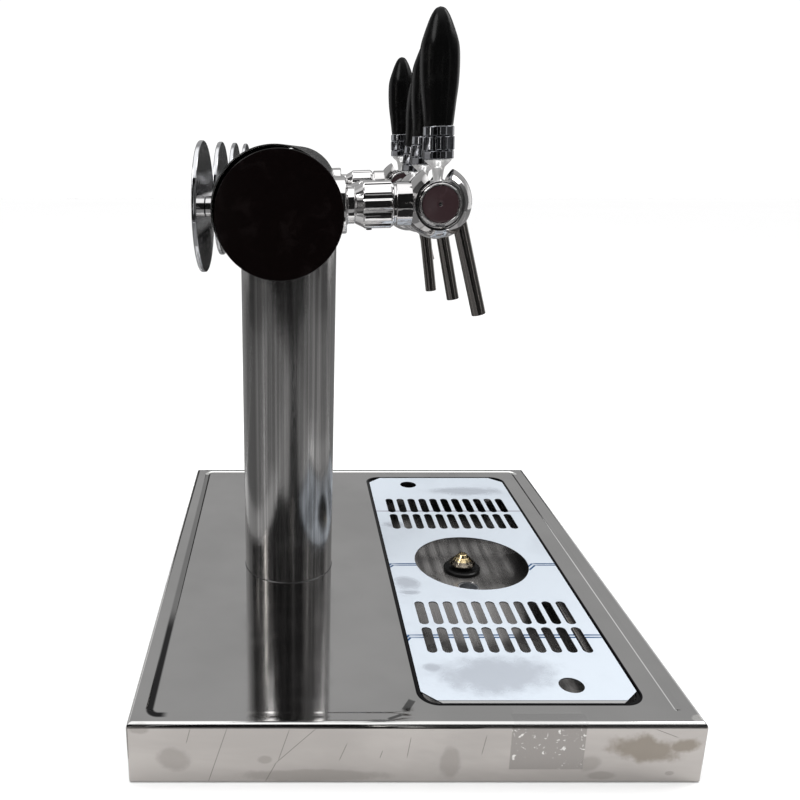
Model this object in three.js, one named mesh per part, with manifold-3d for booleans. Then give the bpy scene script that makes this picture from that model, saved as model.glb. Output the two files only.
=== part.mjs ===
// Draft beer dispenser: a T-shaped tower of four taps on a drip deck.
// Millimetres, +Z up. The origin is on the counter, under the middle of the deck.
// The bar runs along Y, the taps point along +X and the badges along -X.

import * as THREE from 'three';
import { mergeVertices } from 'three/addons/utils/BufferGeometryUtils.js';
import Module from 'manifold-3d';

const wasm = await Module();
wasm.setup();

// Driving dimensions of the deck
const deckWidth = 500;
const deckLength = 600;
const deckHeight = 60;
const sheet = 1.5;
const deckLip = 15;
const grooveSideInset = 18;
const grooveEndInset = 12;
const grooveWidth = 6.5;
const grooveDepth = 1.2;
const grooveCornerRadius = 12;

// Driving dimensions of the drip pan and its grille
const grilleSideInset = 44.5;
const grilleColumnInset = 259.5;
const grilleNearInset = 29;
const grilleFarInset = 37;
const grilleCornerCut = 17;
const grilleGap = 2;
const cutOutCornerRadius = 18;
const panLedge = 4;
const panFlange = 5;
const panFloor = 25;
const slotWidth = 10;
const slotWeb = 5.3;
const slotSideMargin = 16.5;
const slotEndMargin = 78;
const slotRowGap = 5.5;
const slotRowFromHole = 25;
const rinserHoleMargin = 31.5;
const fingerHoleRadius = 11.5;
const fingerHoleFromSide = 56;
const fingerHoleFromEnd = 26;

// Driving dimensions of the drain and the glass rinser
const drainRadius = 12.5;
const drainFromPanMiddle = 4;
const spigotWall = 2;
const spigotFlange = 6;
const undersideClear = 4;
const rinserFromDrain = 42;
const rinserBaseFlange = 11;
const rinserBaseHeight = 5;
const rinserStubWall = 4.2;
const rinserStemRadius = 7;
const rinserStemReach = 14;
const rinserInletRadius = 4;
const nozzleRadius = 16;
const nozzleTopRadius = 5;
const nozzleHeight = 13;
const nozzleJetRadius = 1.5;
const nozzleTravel = 4;

// Driving dimensions of the tower
const tubeRadius = 50.8;
const columnSideInset = 140;
const columnFromMiddle = 5;
const barHeight = 484.5;
const barLength = 460;
const barEndMargin = 44;
const towerTurnDegrees = -2.8;
const tapTiltDegrees = [1.9, -0.8, -4.8, 1.9];
const endCapThickness = 3;
const endCapSpigot = 12;
const endCapSlack = 3.5;
const endCapOverhang = 0.5;
const collarSpigotHeight = 18;
const collarStubReach = 20;
const collarWall = 4;
const collarStep = 5;
const clampNutWall = 12;
const clampNutHeight = 12;
const lineOpeningMargin = 7.3;

// Driving dimensions of a tap, in the order of its pieces from the bar outwards
const flangeRadius = 23;
const flangeProud = 6.2;
const neckRadius = 15;
const neckLength = 6.6;
const shankRadius = 8;
const shankBoreRadius = 3.5;
const shankReach = 31.3;
const barbRadius = 5.2;
const barbLength = 11;
const couplingRadius = 11;
const couplingReach = 14;
const backNutWidth = 27;
const backNutHeight = 7;
const ribbedCollarLength = 32;
const ribbedCollarRadius = 19.5;
const ribbedCollarRibs = 10;
const ribDepth = 1.4;
const collarTaper = 6.5;
const inletRadius = 18;
const inletNeckStep = 2;
const inletNeckLength = 2;
const inletProud = 6.4;
const bodyRadius = 28;
const bodyCrown = 1.5;
const bodyHalfWidth = 20;
const bodyWall = 9.7;
const farWall = 3.5;
const notchHalfDegrees = 25;
const portRadius = 2;
const rotorPortRadius = 1.6;
const leverTravelDegrees = 12;
const spoutRadius = 6;
const spoutBoreRadius = 4.5;
const spoutRootInset = 0.84;
const spoutRootDegrees = 45.3;
const spoutTiltDegrees = 13.2;
const spoutLength = 77.1;
const spoutSocketDepth = 2.6;
const sideCapStep = 1.9;
const sideCapPlug = 3;
const sideCapProud = 3.5;
const sideCapRim = 1.6;
const sideCapRecess = 0.7;
const dimpleRadius = 1.8;
const dimpleDepth = 0.8;

// Driving dimensions of a tap's handle, from the lever's pivot upwards
const stemNeckRadius = 3.8;
const stemWaistRadius = 5.6;
const stemWaistInset = 1.2;
const stemTopRadius = 11;
const stemFlareHeight = 6.1;
const rodRadius = 5;
const rodReach = 35;
const ferruleHeight = 25.7;
const ferruleRadius = 13.1;
const ferruleBandRadius = 12.6;
const ferruleTopRadius = 12.6;
const ferruleRibs = 10;
const ferruleRibDepth = 1;
const ferruleBandShare = 0.24;
const ferruleRibTopShare = 0.72;
const gripHeight = 88.7;
const gripRadius = 15.9;

// Driving dimensions of a badge holder
const badgeStandoff = 9.7;
const badgeGap = 16.6;
const badgeThickness = 4;
const badgeRim = 3;
const badgeRecess = 1.5;
const studRadius = 8;
const studScrewRadius = 4;
const studScrewReach = 9;

// Driving dimensions of the beer lines
const lineRadius = 4.75;
const lineSides = 8;
const lineSteps = 21;

// Fits, chamfers and overruns
const fit = 0.3;
const chamfer = 1;
const overrun = 1;
const weldTolerance = 0.0001;

// Numbers of flats on the round pieces
const roundTube = 36;
const roundLarge = 20;
const roundMedium = 14;
const roundSmall = 10;
const bodyRings = 8;
const flatsPerQuarter = 4;

// Finishes
const polishedSteel = { color: 0xb9bcc0, roughness: 0.12, metalness: 1 };
const chrome = { color: 0xd6d8dc, roughness: 0.06, metalness: 1 };
const darkChrome = { color: 0x5a5854, roughness: 0.15, metalness: 1 };
const filmedSteel = { color: 0xdfeaf5, roughness: 0.3, metalness: 0.2 };
const blackGloss = { color: 0x060506, roughness: 0.12, metalness: 0 };
const blackRubber = { color: 0x121212, roughness: 0.6, metalness: 0 };
const brass = { color: 0xc9a24a, roughness: 0.2, metalness: 1 };
const zincSteel = { color: 0x9a9ca0, roughness: 0.4, metalness: 1 };
const clearLine = { color: 0xd8d6cc, roughness: 0.4, metalness: 0 };

// Worked-out sizes of the deck, the pan and the grille
const grilleWidth = deckWidth - grilleSideInset - grilleColumnInset;
const grilleLength = deckLength - grilleNearInset - grilleFarInset;
const grilleX = deckWidth / 2 - grilleSideInset - grilleWidth / 2;
const grilleY = (grilleNearInset - grilleFarInset) / 2;
const slotPitch = slotWidth + slotWeb;
const slotsInRow = Math.round((grilleWidth - 2 * slotSideMargin + slotWeb) / slotPitch);
const rinserHoleRadius = grilleWidth / 2 - rinserHoleMargin;
const slotRowFromMiddle = rinserHoleRadius + slotRowFromHole;
const slotLength = (grilleLength / 2 - slotEndMargin - slotRowFromMiddle - slotRowGap) / 2;
const cutOutWidth = grilleWidth + 2 * grilleGap;
const cutOutLength = grilleLength + 2 * grilleGap;
const panWidth = cutOutWidth - 2 * panLedge;
const panLength = cutOutLength - 2 * panLedge;
const panCornerRadius = cutOutCornerRadius - panLedge;
const panTop = deckHeight - sheet;
const rinserStubRadius = rinserStemRadius + fit + rinserStubWall;
const rinserBaseRadius = rinserStubRadius + rinserBaseFlange;
const rinserFromPanMiddle = drainFromPanMiddle + rinserFromDrain;

// Worked-out sizes of the tower
const tubeBore = tubeRadius - sheet;
const columnX = columnSideInset - deckWidth / 2;
const columnBase = deckHeight;
const collarRadius = tubeBore - fit;
const collarStubRadius = collarRadius - collarStep;
const collarBoreRadius = collarStubRadius - collarWall;
const clampNutWidth = 2 * (collarStubRadius + clampNutWall);
const lineOpeningRadius = tubeBore - lineOpeningMargin;
const endCapRadius = tubeRadius + endCapOverhang;
const tapPitch = (barLength - 2 * barEndMargin) / (tapTiltDegrees.length - 1);
const tapPlaces = tapTiltDegrees.map((tilt, i) => (i - (tapTiltDegrees.length - 1) / 2) * tapPitch);
const badgeBack = tubeRadius + badgeStandoff;
const badgeRadius = (tapPitch - badgeGap) / 2;

// Worked-out places along a tap's axis, from the bar's axis, and up its handle, from the pivot
const shankTail = tubeBore - shankReach;
const flangeFace = tubeRadius + flangeProud;
const neckEnd = flangeFace + neckLength;
const ribbedCollarEnd = neckEnd + ribbedCollarLength;
const inletStart = ribbedCollarEnd + inletNeckLength;
const bodyFromBar = inletStart + inletProud + bodyRadius;
const inletNeckRadius = inletRadius - inletNeckStep;
const bodyHalfHeight = bodyRadius + bodyCrown;
const rotorBoreRadius = bodyRadius - bodyWall;
const rotorRadius = rotorBoreRadius - fit;
const sideCapRadius = rotorBoreRadius - sideCapStep;
const stemWaistHeight = bodyHalfHeight - stemWaistInset;
const stemTop = stemWaistHeight + stemFlareHeight;
const ferruleTop = stemTop + ferruleHeight;
const rodTop = ferruleTop + rodReach;
const gripTop = ferruleTop + gripHeight;
const rotorNear = -(bodyHalfWidth - sideCapPlug - fit);
const rotorFar = bodyHalfWidth - farWall - fit;
const backNutCorner = backNutWidth / 2 / Math.cos(Math.PI / 6);
const backNutSeat = Math.sqrt(tubeBore ** 2 - backNutCorner ** 2) - fit;

const radians = THREE.MathUtils.degToRad;

// Worked-out place of a spout's root on its tap's round body
const spoutRootReach = bodyRadius - spoutRootInset;
const spoutRootX = spoutRootReach * Math.cos(radians(spoutRootDegrees));
const spoutRootZ = -spoutRootReach * Math.sin(radians(spoutRootDegrees));

// Worked-out place where the spout's axis, followed back through its root, meets the rotor's bore
const spoutSlant = radians(spoutTiltDegrees);
const spoutLean = spoutRootX * Math.sin(spoutSlant) - spoutRootZ * Math.cos(spoutSlant);
const outletLength = spoutLean - Math.sqrt(spoutLean ** 2 - spoutRootReach ** 2 + rotorBoreRadius ** 2);
const outletX = spoutRootX - outletLength * Math.sin(spoutSlant);
const outletZ = spoutRootZ + outletLength * Math.cos(spoutSlant);

// Welds a geometry's shared vertices and drops the triangles that collapse
function welded(geometry) {
  const bare = geometry.index ? geometry.toNonIndexed() : geometry.clone();
  bare.deleteAttribute('normal');
  bare.deleteAttribute('uv');
  const merged = mergeVertices(bare, weldTolerance);
  const corners = merged.index.array;
  const kept = [];
  for (let i = 0; i < corners.length; i += 3) {
    const [a, b, c] = corners.slice(i, i + 3);
    if (a !== b && b !== c && c !== a) kept.push(a, b, c);
  }
  merged.setIndex(kept);
  return merged;
}

// Turns a closed geometry into a solid that can be joined and cut
function solid(geometry) {
  const merged = welded(geometry);
  return new wasm.Manifold(new wasm.Mesh({
    numProp: 3,
    vertProperties: new Float32Array(merged.attributes.position.array),
    triVerts: new Uint32Array(merged.index.array),
  }));
}

// Turns a solid back into a geometry
function surface(body) {
  const mesh = body.getMesh();
  const geometry = new THREE.BufferGeometry();
  geometry.setAttribute('position', new THREE.BufferAttribute(new Float32Array(mesh.vertProperties), 3));
  geometry.setIndex(new THREE.BufferAttribute(new Uint32Array(mesh.triVerts), 1));
  geometry.computeVertexNormals();
  return geometry;
}

// A turned piece about Z through the given radius and height pairs
function turned(profile, flats) {
  const points = profile.map(([radius, height]) => new THREE.Vector2(radius, height));
  return new THREE.LatheGeometry(points, flats).rotateX(Math.PI / 2);
}

// A turned ring about Z, whose profile closes on itself
function turnedRing(profile, flats) {
  return turned([...profile, profile[0]], flats);
}

// A plain cylinder about Z between two heights
function rod(radius, low, high, flats) {
  return turned([[0, low], [radius, low], [radius, high], [0, high]], flats);
}

// Lays a piece that stands on Z along X
function alongX(geometry) {
  return geometry.rotateY(Math.PI / 2);
}

// Lays a piece that stands on Z along Y
function alongY(geometry) {
  return geometry.rotateX(-Math.PI / 2);
}

// A block between two corners
function block(low, high) {
  const size = high.map((value, i) => value - low[i]);
  const middle = high.map((value, i) => (value + low[i]) / 2);
  return new THREE.BoxGeometry(...size).translate(...middle);
}

// A rectangle with round corners, centred on a point
function roundedRectangle(width, length, radius, x = 0, y = 0) {
  const right = width / 2 - radius;
  const far = length / 2 - radius;
  const outline = new THREE.Shape();
  outline.absarc(x + right, y + far, radius, 0, Math.PI / 2);
  outline.absarc(x - right, y + far, radius, Math.PI / 2, Math.PI);
  outline.absarc(x - right, y - far, radius, Math.PI, 1.5 * Math.PI);
  outline.absarc(x + right, y - far, radius, 1.5 * Math.PI, 2 * Math.PI);
  outline.closePath();
  return outline;
}

// A plate of an outline between two heights, each of whose arcs has two flats for each curve segment
function plate(outline, low, high) {
  const options = { depth: high - low, bevelEnabled: false, curveSegments: flatsPerQuarter / 2 };
  return new THREE.ExtrudeGeometry(outline, options).translate(0, 0, low);
}

// A six-sided nut blank about Z
function hexagon(acrossFlats, low, high) {
  return rod(acrossFlats / 2 / Math.cos(Math.PI / 6), low, high, 6);
}

// A ribbed bar about Z, each rib a flat-topped tooth
function ribbed(radius, depth, ribs, low, high) {
  const toothShares = [[0, 0], [0.18, 1], [0.62, 1], [0.8, 0]];
  const outline = new THREE.Shape();
  for (let rib = 0; rib < ribs; rib += 1) {
    for (const [turnShare, riseShare] of toothShares) {
      const angle = (rib + turnShare) * 2 * Math.PI / ribs;
      const reach = radius - depth * (1 - riseShare);
      const x = reach * Math.cos(angle);
      const y = reach * Math.sin(angle);
      if (rib === 0 && turnShare === 0) outline.moveTo(x, y);
      else outline.lineTo(x, y);
    }
  }
  outline.closePath();
  return plate(outline, low, high);
}

function named(name, geometry, finish) {
  const mesh = new THREE.Mesh(geometry, new THREE.MeshStandardMaterial(finish));
  mesh.name = name;
  return mesh;
}

// The deck: a folded box, open below, with a return lip, an embossed groove and two cut-outs
function deck() {
  const half = [deckWidth / 2, deckLength / 2];
  const grooveTop = deckHeight + overrun;
  const grooveOuter = [deckWidth - 2 * grooveSideInset, deckLength - 2 * grooveEndInset];
  const grooveInner = grooveOuter.map((size) => size - 2 * grooveWidth);
  const innerCorner = grooveCornerRadius - grooveWidth;
  let body = solid(block([-half[0], -half[1], 0], [half[0], half[1], deckHeight]));
  const cavity = block(
    [sheet - half[0], sheet - half[1], sheet],
    [half[0] - sheet, half[1] - sheet, panTop],
  );
  const mouth = block(
    [deckLip - half[0], deckLip - half[1], -overrun],
    [half[0] - deckLip, half[1] - deckLip, sheet + overrun],
  );
  body = body.subtract(solid(cavity)).subtract(solid(mouth));
  const ridgeOuter = grooveOuter.map((size) => size + 2 * sheet);
  const ridgeInner = grooveInner.map((size) => size - 2 * sheet);
  const ridge = roundedRectangle(...ridgeOuter, grooveCornerRadius + sheet);
  ridge.holes.push(roundedRectangle(...ridgeInner, innerCorner - sheet));
  body = body.add(solid(plate(ridge, panTop - grooveDepth, panTop + sheet / 2)));
  const groove = roundedRectangle(...grooveOuter, grooveCornerRadius);
  groove.holes.push(roundedRectangle(...grooveInner, innerCorner));
  body = body.subtract(solid(plate(groove, deckHeight - grooveDepth, grooveTop)));
  const cutOut = roundedRectangle(cutOutWidth, cutOutLength, cutOutCornerRadius, grilleX, grilleY);
  body = body.subtract(solid(plate(cutOut, panTop - grooveDepth - overrun, grooveTop)));
  const stubHole = rod(collarStubRadius + fit, panTop - overrun, grooveTop, roundTube);
  body = body.subtract(solid(stubHole.translate(columnX, -columnFromMiddle, 0)));
  return named('deck', surface(body), polishedSteel);
}

// The drip pan: a welded tray under the deck's cut-out, whose ledge carries the grille
function dripPan() {
  const flangeSize = [cutOutWidth + 2 * panFlange, cutOutLength + 2 * panFlange];
  const flange = roundedRectangle(...flangeSize, cutOutCornerRadius + panFlange, grilleX, grilleY);
  const outside = roundedRectangle(
    panWidth + 2 * sheet, panLength + 2 * sheet, panCornerRadius + sheet, grilleX, grilleY);
  const inside = roundedRectangle(panWidth, panLength, panCornerRadius, grilleX, grilleY);
  let body = solid(plate(flange, panTop - sheet, panTop));
  body = body.add(solid(plate(outside, panFloor - sheet, panTop)));
  body = body.subtract(solid(plate(inside, panFloor, panTop + overrun)));
  const drain = rod(drainRadius, panFloor - sheet - overrun, panFloor + overrun, roundMedium);
  body = body.subtract(solid(drain.translate(grilleX, grilleY + drainFromPanMiddle, 0)));
  const rinser = rod(rinserStubRadius + fit, panFloor - sheet - overrun, panFloor + overrun, roundMedium);
  body = body.subtract(solid(rinser.translate(grilleX, grilleY + rinserFromPanMiddle, 0)));
  return named('drip_pan', surface(body), polishedSteel);
}

// A slot with round ends, long along Y
function slotOutline(x, y) {
  const radius = slotWidth / 2;
  const reach = slotLength / 2 - radius;
  const outline = new THREE.Path();
  outline.absarc(x, y + reach, radius, 0, Math.PI);
  outline.absarc(x, y - reach, radius, Math.PI, 2 * Math.PI);
  outline.closePath();
  return outline;
}

// A round hole, drawn as four quarters
function roundHole(x, y, radius) {
  const outline = new THREE.Path();
  for (let quarter = 0; quarter < 4; quarter += 1) {
    outline.absarc(x, y, radius, quarter * Math.PI / 2, (quarter + 1) * Math.PI / 2);
  }
  outline.closePath();
  return outline;
}

// The drip grille: a plate with cut corners, four rows of slots, a rinser hole and two finger holes
function dripGrille() {
  const right = grilleWidth / 2;
  const far = grilleLength / 2;
  const corner = grilleCornerCut;
  const outline = new THREE.Shape([
    new THREE.Vector2(right, far - corner),
    new THREE.Vector2(right - corner, far),
    new THREE.Vector2(corner - right, far),
    new THREE.Vector2(-right, far - corner),
    new THREE.Vector2(-right, corner - far),
    new THREE.Vector2(corner - right, -far),
    new THREE.Vector2(right - corner, -far),
    new THREE.Vector2(right, corner - far),
  ]);
  const rowPitch = slotLength + slotRowGap;
  for (const side of [-1, 1]) {
    for (const row of [0, 1]) {
      for (let i = 0; i < slotsInRow; i += 1) {
        const x = (i - (slotsInRow - 1) / 2) * slotPitch;
        const y = side * (slotRowFromMiddle + slotLength / 2 + row * rowPitch);
        outline.holes.push(slotOutline(x, y));
      }
    }
    const fingerX = -side * (right - fingerHoleFromSide);
    outline.holes.push(roundHole(fingerX, side * (far - fingerHoleFromEnd), fingerHoleRadius));
  }
  const cut = solid(plate(outline, panTop, deckHeight));
  const rinserHole = rod(rinserHoleRadius, panTop - overrun, deckHeight + overrun, roundTube);
  const body = cut.subtract(solid(rinserHole)).translate([grilleX, grilleY, 0]);
  return named('drip_grille', surface(body), filmedSteel);
}

// The drain spigot: a flanged tube under the pan's drain hole
function drainSpigot() {
  const top = panFloor - sheet;
  const bore = drainRadius - sheet;
  const outside = bore + spigotWall;
  const profile = [
    [bore, undersideClear],
    [outside, undersideClear],
    [outside, top - spigotWall],
    [outside + spigotFlange, top - spigotWall],
    [outside + spigotFlange, top],
    [bore, top],
  ];
  const mesh = named('drain_spigot', turnedRing(profile, roundMedium), zincSteel);
  mesh.position.set(grilleX, grilleY + drainFromPanMiddle, 0);
  return mesh;
}

// The rinser's base: a black flange on the pan's floor, with its water inlet below
function rinserBase() {
  const top = panFloor + rinserBaseHeight;
  const stemWell = top - rinserStemReach + fit;
  const profile = [
    [rinserInletRadius, undersideClear],
    [rinserStubRadius, undersideClear],
    [rinserStubRadius, panFloor],
    [rinserBaseRadius, panFloor],
    [rinserBaseRadius, top - chamfer],
    [rinserBaseRadius - chamfer, top],
    [rinserStemRadius + fit, top],
    [rinserStemRadius + fit, stemWell - nozzleTravel],
    [rinserInletRadius, stemWell - nozzleTravel],
  ];
  const mesh = named('rinser_base', turnedRing(profile, roundMedium), blackRubber);
  mesh.position.set(grilleX, grilleY + rinserFromPanMiddle, 0);
  return mesh;
}

// The rinser's nozzle: a brass cone on a stem, pressed down by the rim of a glass
function rinserNozzle() {
  const skirt = panFloor + rinserBaseHeight + nozzleTravel + fit;
  const profile = [
    [nozzleJetRadius, panFloor + rinserBaseHeight - rinserStemReach + nozzleTravel + fit],
    [rinserStemRadius, panFloor + rinserBaseHeight - rinserStemReach + nozzleTravel + fit],
    [rinserStemRadius, skirt],
    [nozzleRadius, skirt],
    [nozzleRadius, skirt + chamfer],
    [nozzleTopRadius, skirt + nozzleHeight - chamfer],
    [nozzleTopRadius - chamfer, skirt + nozzleHeight],
    [nozzleJetRadius, skirt + nozzleHeight],
  ];
  const mesh = named('rinser_nozzle', turnedRing(profile, roundMedium), brass);
  mesh.position.set(grilleX, grilleY + rinserFromPanMiddle, 0);
  return mesh;
}

// A bar-sized cylinder along Y, which cuts the saddles of what sits on the bar
function barCutter(clearance) {
  const half = barLength / 2;
  return solid(alongY(rod(tubeRadius + clearance, -half, half, roundTube)));
}

// The column: a tube from the deck up to the saddle under the bar
function columnTube() {
  const top = barHeight;
  const profile = [[tubeBore, columnBase], [tubeRadius, columnBase], [tubeRadius, top], [tubeBore, top]];
  const saddle = barCutter(fit).translate([0, 0, barHeight]);
  const body = solid(turnedRing(profile, roundTube)).subtract(saddle);
  return named('column_tube', surface(body), polishedSteel);
}

// The collar in the column's foot, whose threaded stub passes down through the deck
function columnBaseCollar() {
  const profile = [
    [collarBoreRadius, columnBase - collarStubReach],
    [collarStubRadius, columnBase - collarStubReach],
    [collarStubRadius, columnBase],
    [collarRadius, columnBase],
    [collarRadius, columnBase + collarSpigotHeight],
    [collarBoreRadius, columnBase + collarSpigotHeight],
  ];
  return named('column_base_collar', turnedRing(profile, roundTube), zincSteel);
}

// The nut that clamps the tower down from under the deck
function columnClampNut() {
  const blank = solid(hexagon(clampNutWidth, panTop - clampNutHeight, panTop));
  const bore = rod(collarStubRadius + fit, panTop - clampNutHeight - overrun, panTop + overrun, roundTube);
  return named('column_clamp_nut', surface(blank.subtract(solid(bore))), zincSteel);
}

// The bar: a tube with a hole for each shank, each badge screw and the lines
function barTube() {
  const half = barLength / 2;
  const profile = [[tubeBore, -half], [tubeRadius, -half], [tubeRadius, half], [tubeBore, half]];
  let body = solid(alongY(turnedRing(profile, roundTube)));
  tapPlaces.forEach((place, i) => {
    const shankHole = alongX(rod(shankRadius + fit, tubeBore / 2, tubeRadius + overrun, roundMedium));
    const screwHole = alongX(rod(studScrewRadius + fit, -tubeRadius - overrun, -tubeBore / 2, roundSmall));
    const turn = -radians(tapTiltDegrees[i]);
    body = body.subtract(solid(shankHole.rotateY(turn).translate(0, place, 0)));
    body = body.subtract(solid(screwHole.translate(0, place, 0)));
  });
  const lineOpening = rod(lineOpeningRadius, -tubeRadius - overrun, -overrun, roundLarge);
  return named('bar_tube', surface(body.subtract(solid(lineOpening))), polishedSteel);
}

// An end cap: a black disc with a spigot in the bar's end, hanging down and aside by its slack
function endCap(name, side) {
  const spigotRadius = tubeBore - endCapSlack * Math.SQRT2 - fit;
  const profile = [
    [0, -endCapSpigot],
    [spigotRadius, -endCapSpigot],
    [spigotRadius, 0],
    [endCapRadius, 0],
    [endCapRadius, endCapThickness - sheet / 2],
    [endCapRadius - sheet / 2, endCapThickness],
    [0, endCapThickness],
  ];
  const mesh = named(name, alongY(turned(profile, roundTube)), blackGloss);
  mesh.rotation.z = side < 0 ? Math.PI : 0;
  mesh.position.set(-side * endCapSlack, side * (barLength / 2 + fit), -endCapSlack);
  return mesh;
}

// A shank: a hollow tube with a barbed tail, a thread, the flange that sits on the bar, and a neck
function shank(name) {
  const barbEnd = shankTail + barbLength;
  const tube = turnedRing([
    [shankBoreRadius, shankTail],
    [barbRadius, shankTail],
    [barbRadius, barbEnd],
    [shankRadius, barbEnd],
    [shankRadius, flangeFace],
    [neckRadius, flangeFace],
    [neckRadius, neckEnd],
    [couplingRadius, neckEnd],
    [couplingRadius, neckEnd + couplingReach],
    [shankBoreRadius, neckEnd + couplingReach],
  ], roundMedium);
  const flange = turnedRing([
    [shankRadius - sheet, tubeBore - flangeRadius / 2],
    [flangeRadius, tubeBore - flangeRadius / 2],
    [flangeRadius, flangeFace],
    [shankRadius - sheet, flangeFace],
  ], roundMedium);
  const body = solid(alongX(flange)).subtract(barCutter(fit)).add(solid(alongX(tube)));
  return named(name, surface(body), chrome);
}

// The nut that holds a shank from inside the bar
function backNut(name) {
  const foot = backNutSeat - backNutHeight;
  const blank = solid(alongX(hexagon(backNutWidth, foot, backNutSeat)));
  const bore = alongX(rod(shankRadius + fit, foot - overrun, backNutSeat + overrun, roundMedium));
  return named(name, surface(blank.subtract(solid(bore))), zincSteel);
}

// The ribbed collar that couples a tap's body to its shank
function ribbedCollar(name) {
  const start = neckEnd + fit;
  const ribStart = start + collarTaper;
  const ribEnd = ribbedCollarEnd - chamfer;
  const root = ribbedCollarRadius - ribDepth;
  const core = turned([
    [0, start],
    [neckRadius, start],
    [root, ribStart],
    [root, ribbedCollarEnd],
    [0, ribbedCollarEnd],
  ], roundMedium);
  const ribs = solid(ribbed(ribbedCollarRadius, ribDepth * 2, ribbedCollarRibs, ribStart, ribEnd));
  const bore = rod(couplingRadius + fit, start - overrun, ribbedCollarEnd + overrun, roundMedium);
  const body = ribs.add(solid(core)).subtract(solid(bore));
  return named(name, alongX(surface(body)), chrome);
}

// A prism along Y that opens the body's top for the lever
function notchCutter() {
  const turn = radians(notchHalfDegrees);
  const floor = rotorBoreRadius * Math.cos(turn) - overrun;
  const top = bodyHalfHeight + overrun;
  const slope = Math.tan(turn);
  const outline = new THREE.Shape([
    new THREE.Vector2(-floor * slope, -floor),
    new THREE.Vector2(-top * slope, -top),
    new THREE.Vector2(top * slope, -top),
    new THREE.Vector2(floor * slope, -floor),
  ]);
  const reach = bodyHalfWidth + overrun;
  return alongY(plate(outline, -reach, reach));
}

// Moves a piece that stands on Z onto the spout's slanting axis, its foot at the spout's root
function onSpoutAxis(geometry) {
  return geometry
    .rotateX(Math.PI)
    .rotateY(-spoutSlant)
    .translate(spoutRootX, 0, spoutRootZ);
}

// A tap's round body: a ring about the rotor's bore, with its inlet, its notch and the spout's socket
function tapBody(name) {
  const ball = new THREE.SphereGeometry(bodyRadius, roundLarge, bodyRings).rotateX(Math.PI / 2);
  ball.scale(1, 1, bodyHalfHeight / bodyRadius);
  const flats = block(
    [-2 * bodyRadius, -bodyHalfWidth, -2 * bodyRadius], [2 * bodyRadius, bodyHalfWidth, 2 * bodyRadius]);
  const couplingEnd = ribbedCollarEnd - bodyFromBar + fit;
  const plainStart = inletStart - bodyFromBar;
  const plainEnd = -Math.sqrt(rotorBoreRadius ** 2 - portRadius ** 2);
  const inlet = alongX(turned([
    [0, neckEnd + couplingReach + fit - bodyFromBar],
    [couplingRadius, neckEnd + couplingReach + fit - bodyFromBar],
    [couplingRadius, couplingEnd],
    [inletNeckRadius, couplingEnd],
    [inletNeckRadius, plainStart],
    [inletRadius, plainStart],
    [inletRadius, plainEnd],
    [0, plainEnd],
  ], roundMedium));
  const nearFace = -bodyHalfWidth - overrun;
  const rotorBore = alongY(rod(rotorBoreRadius, nearFace, bodyHalfWidth - farWall, roundLarge));
  const inletBore = alongX(rod(portRadius, neckEnd + couplingReach - bodyFromBar - overrun, 0, roundSmall));
  const socket = onSpoutAxis(rod(spoutRadius + fit, -spoutSocketDepth, spoutRadius * 2, roundMedium));
  const outlet = onSpoutAxis(rod(portRadius, -rotorBoreRadius, spoutRadius, roundSmall));
  const body = solid(ball).intersect(solid(flats))
    .add(solid(inlet))
    .subtract(solid(rotorBore))
    .subtract(solid(inletBore))
    .subtract(solid(notchCutter()))
    .subtract(solid(socket))
    .subtract(solid(outlet));
  return named(name, surface(body), chrome);
}

// A spout: a straight tube, open at both ends
function spout(name) {
  const start = fit - spoutSocketDepth;
  const profile = [
    [spoutBoreRadius, start],
    [spoutRadius, start],
    [spoutRadius, spoutLength],
    [spoutBoreRadius, spoutLength],
  ];
  return named(name, onSpoutAxis(turnedRing(profile, roundMedium)), darkChrome);
}

// A lever: the valve's rotor, the flared stem and the rod that the ferrule and grip screw onto
function lever(name) {
  const rotor = alongY(rod(rotorRadius, rotorNear, rotorFar, roundLarge));
  const stem = turned([
    [0, 0],
    [stemNeckRadius, 0],
    [stemNeckRadius, rotorRadius],
    [stemWaistRadius, stemWaistHeight],
    [stemTopRadius, stemTop],
    [rodRadius, stemTop],
    [rodRadius, rodTop],
    [0, rodTop],
  ], roundSmall);
  const shut = radians(leverTravelDegrees);
  const outletTurn = Math.PI / 2 + Math.atan2(-outletZ, outletX);
  const inletPort = rod(rotorPortRadius, 0, rotorRadius + overrun, roundSmall).rotateY(-Math.PI / 2 - shut);
  const outletPort = rod(rotorPortRadius, 0, rotorRadius + overrun, roundSmall).rotateY(outletTurn - shut);
  const body = solid(rotor).add(solid(stem)).subtract(solid(inletPort)).subtract(solid(outletPort));
  return named(name, surface(body), chrome);
}

// A side cap: the plug in the rotor's bore, with a raised rim and a dimpled disc
function sideCap(name) {
  const profile = [
    [0, -sideCapPlug],
    [rotorBoreRadius - fit, -sideCapPlug],
    [rotorBoreRadius - fit, 0],
    [sideCapRadius, 0],
    [sideCapRadius, sideCapProud - sideCapRecess],
    [sideCapRadius - sideCapRecess, sideCapProud],
    [sideCapRadius - sideCapRim, sideCapProud],
    [sideCapRadius - sideCapRim, sideCapProud - sideCapRecess],
    [dimpleRadius, sideCapProud - sideCapRecess],
    [0, sideCapProud - sideCapRecess - dimpleDepth],
  ];
  const geometry = turned(profile, roundMedium).rotateX(Math.PI / 2).translate(0, -bodyHalfWidth, 0);
  return named(name, geometry, chrome);
}

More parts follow.
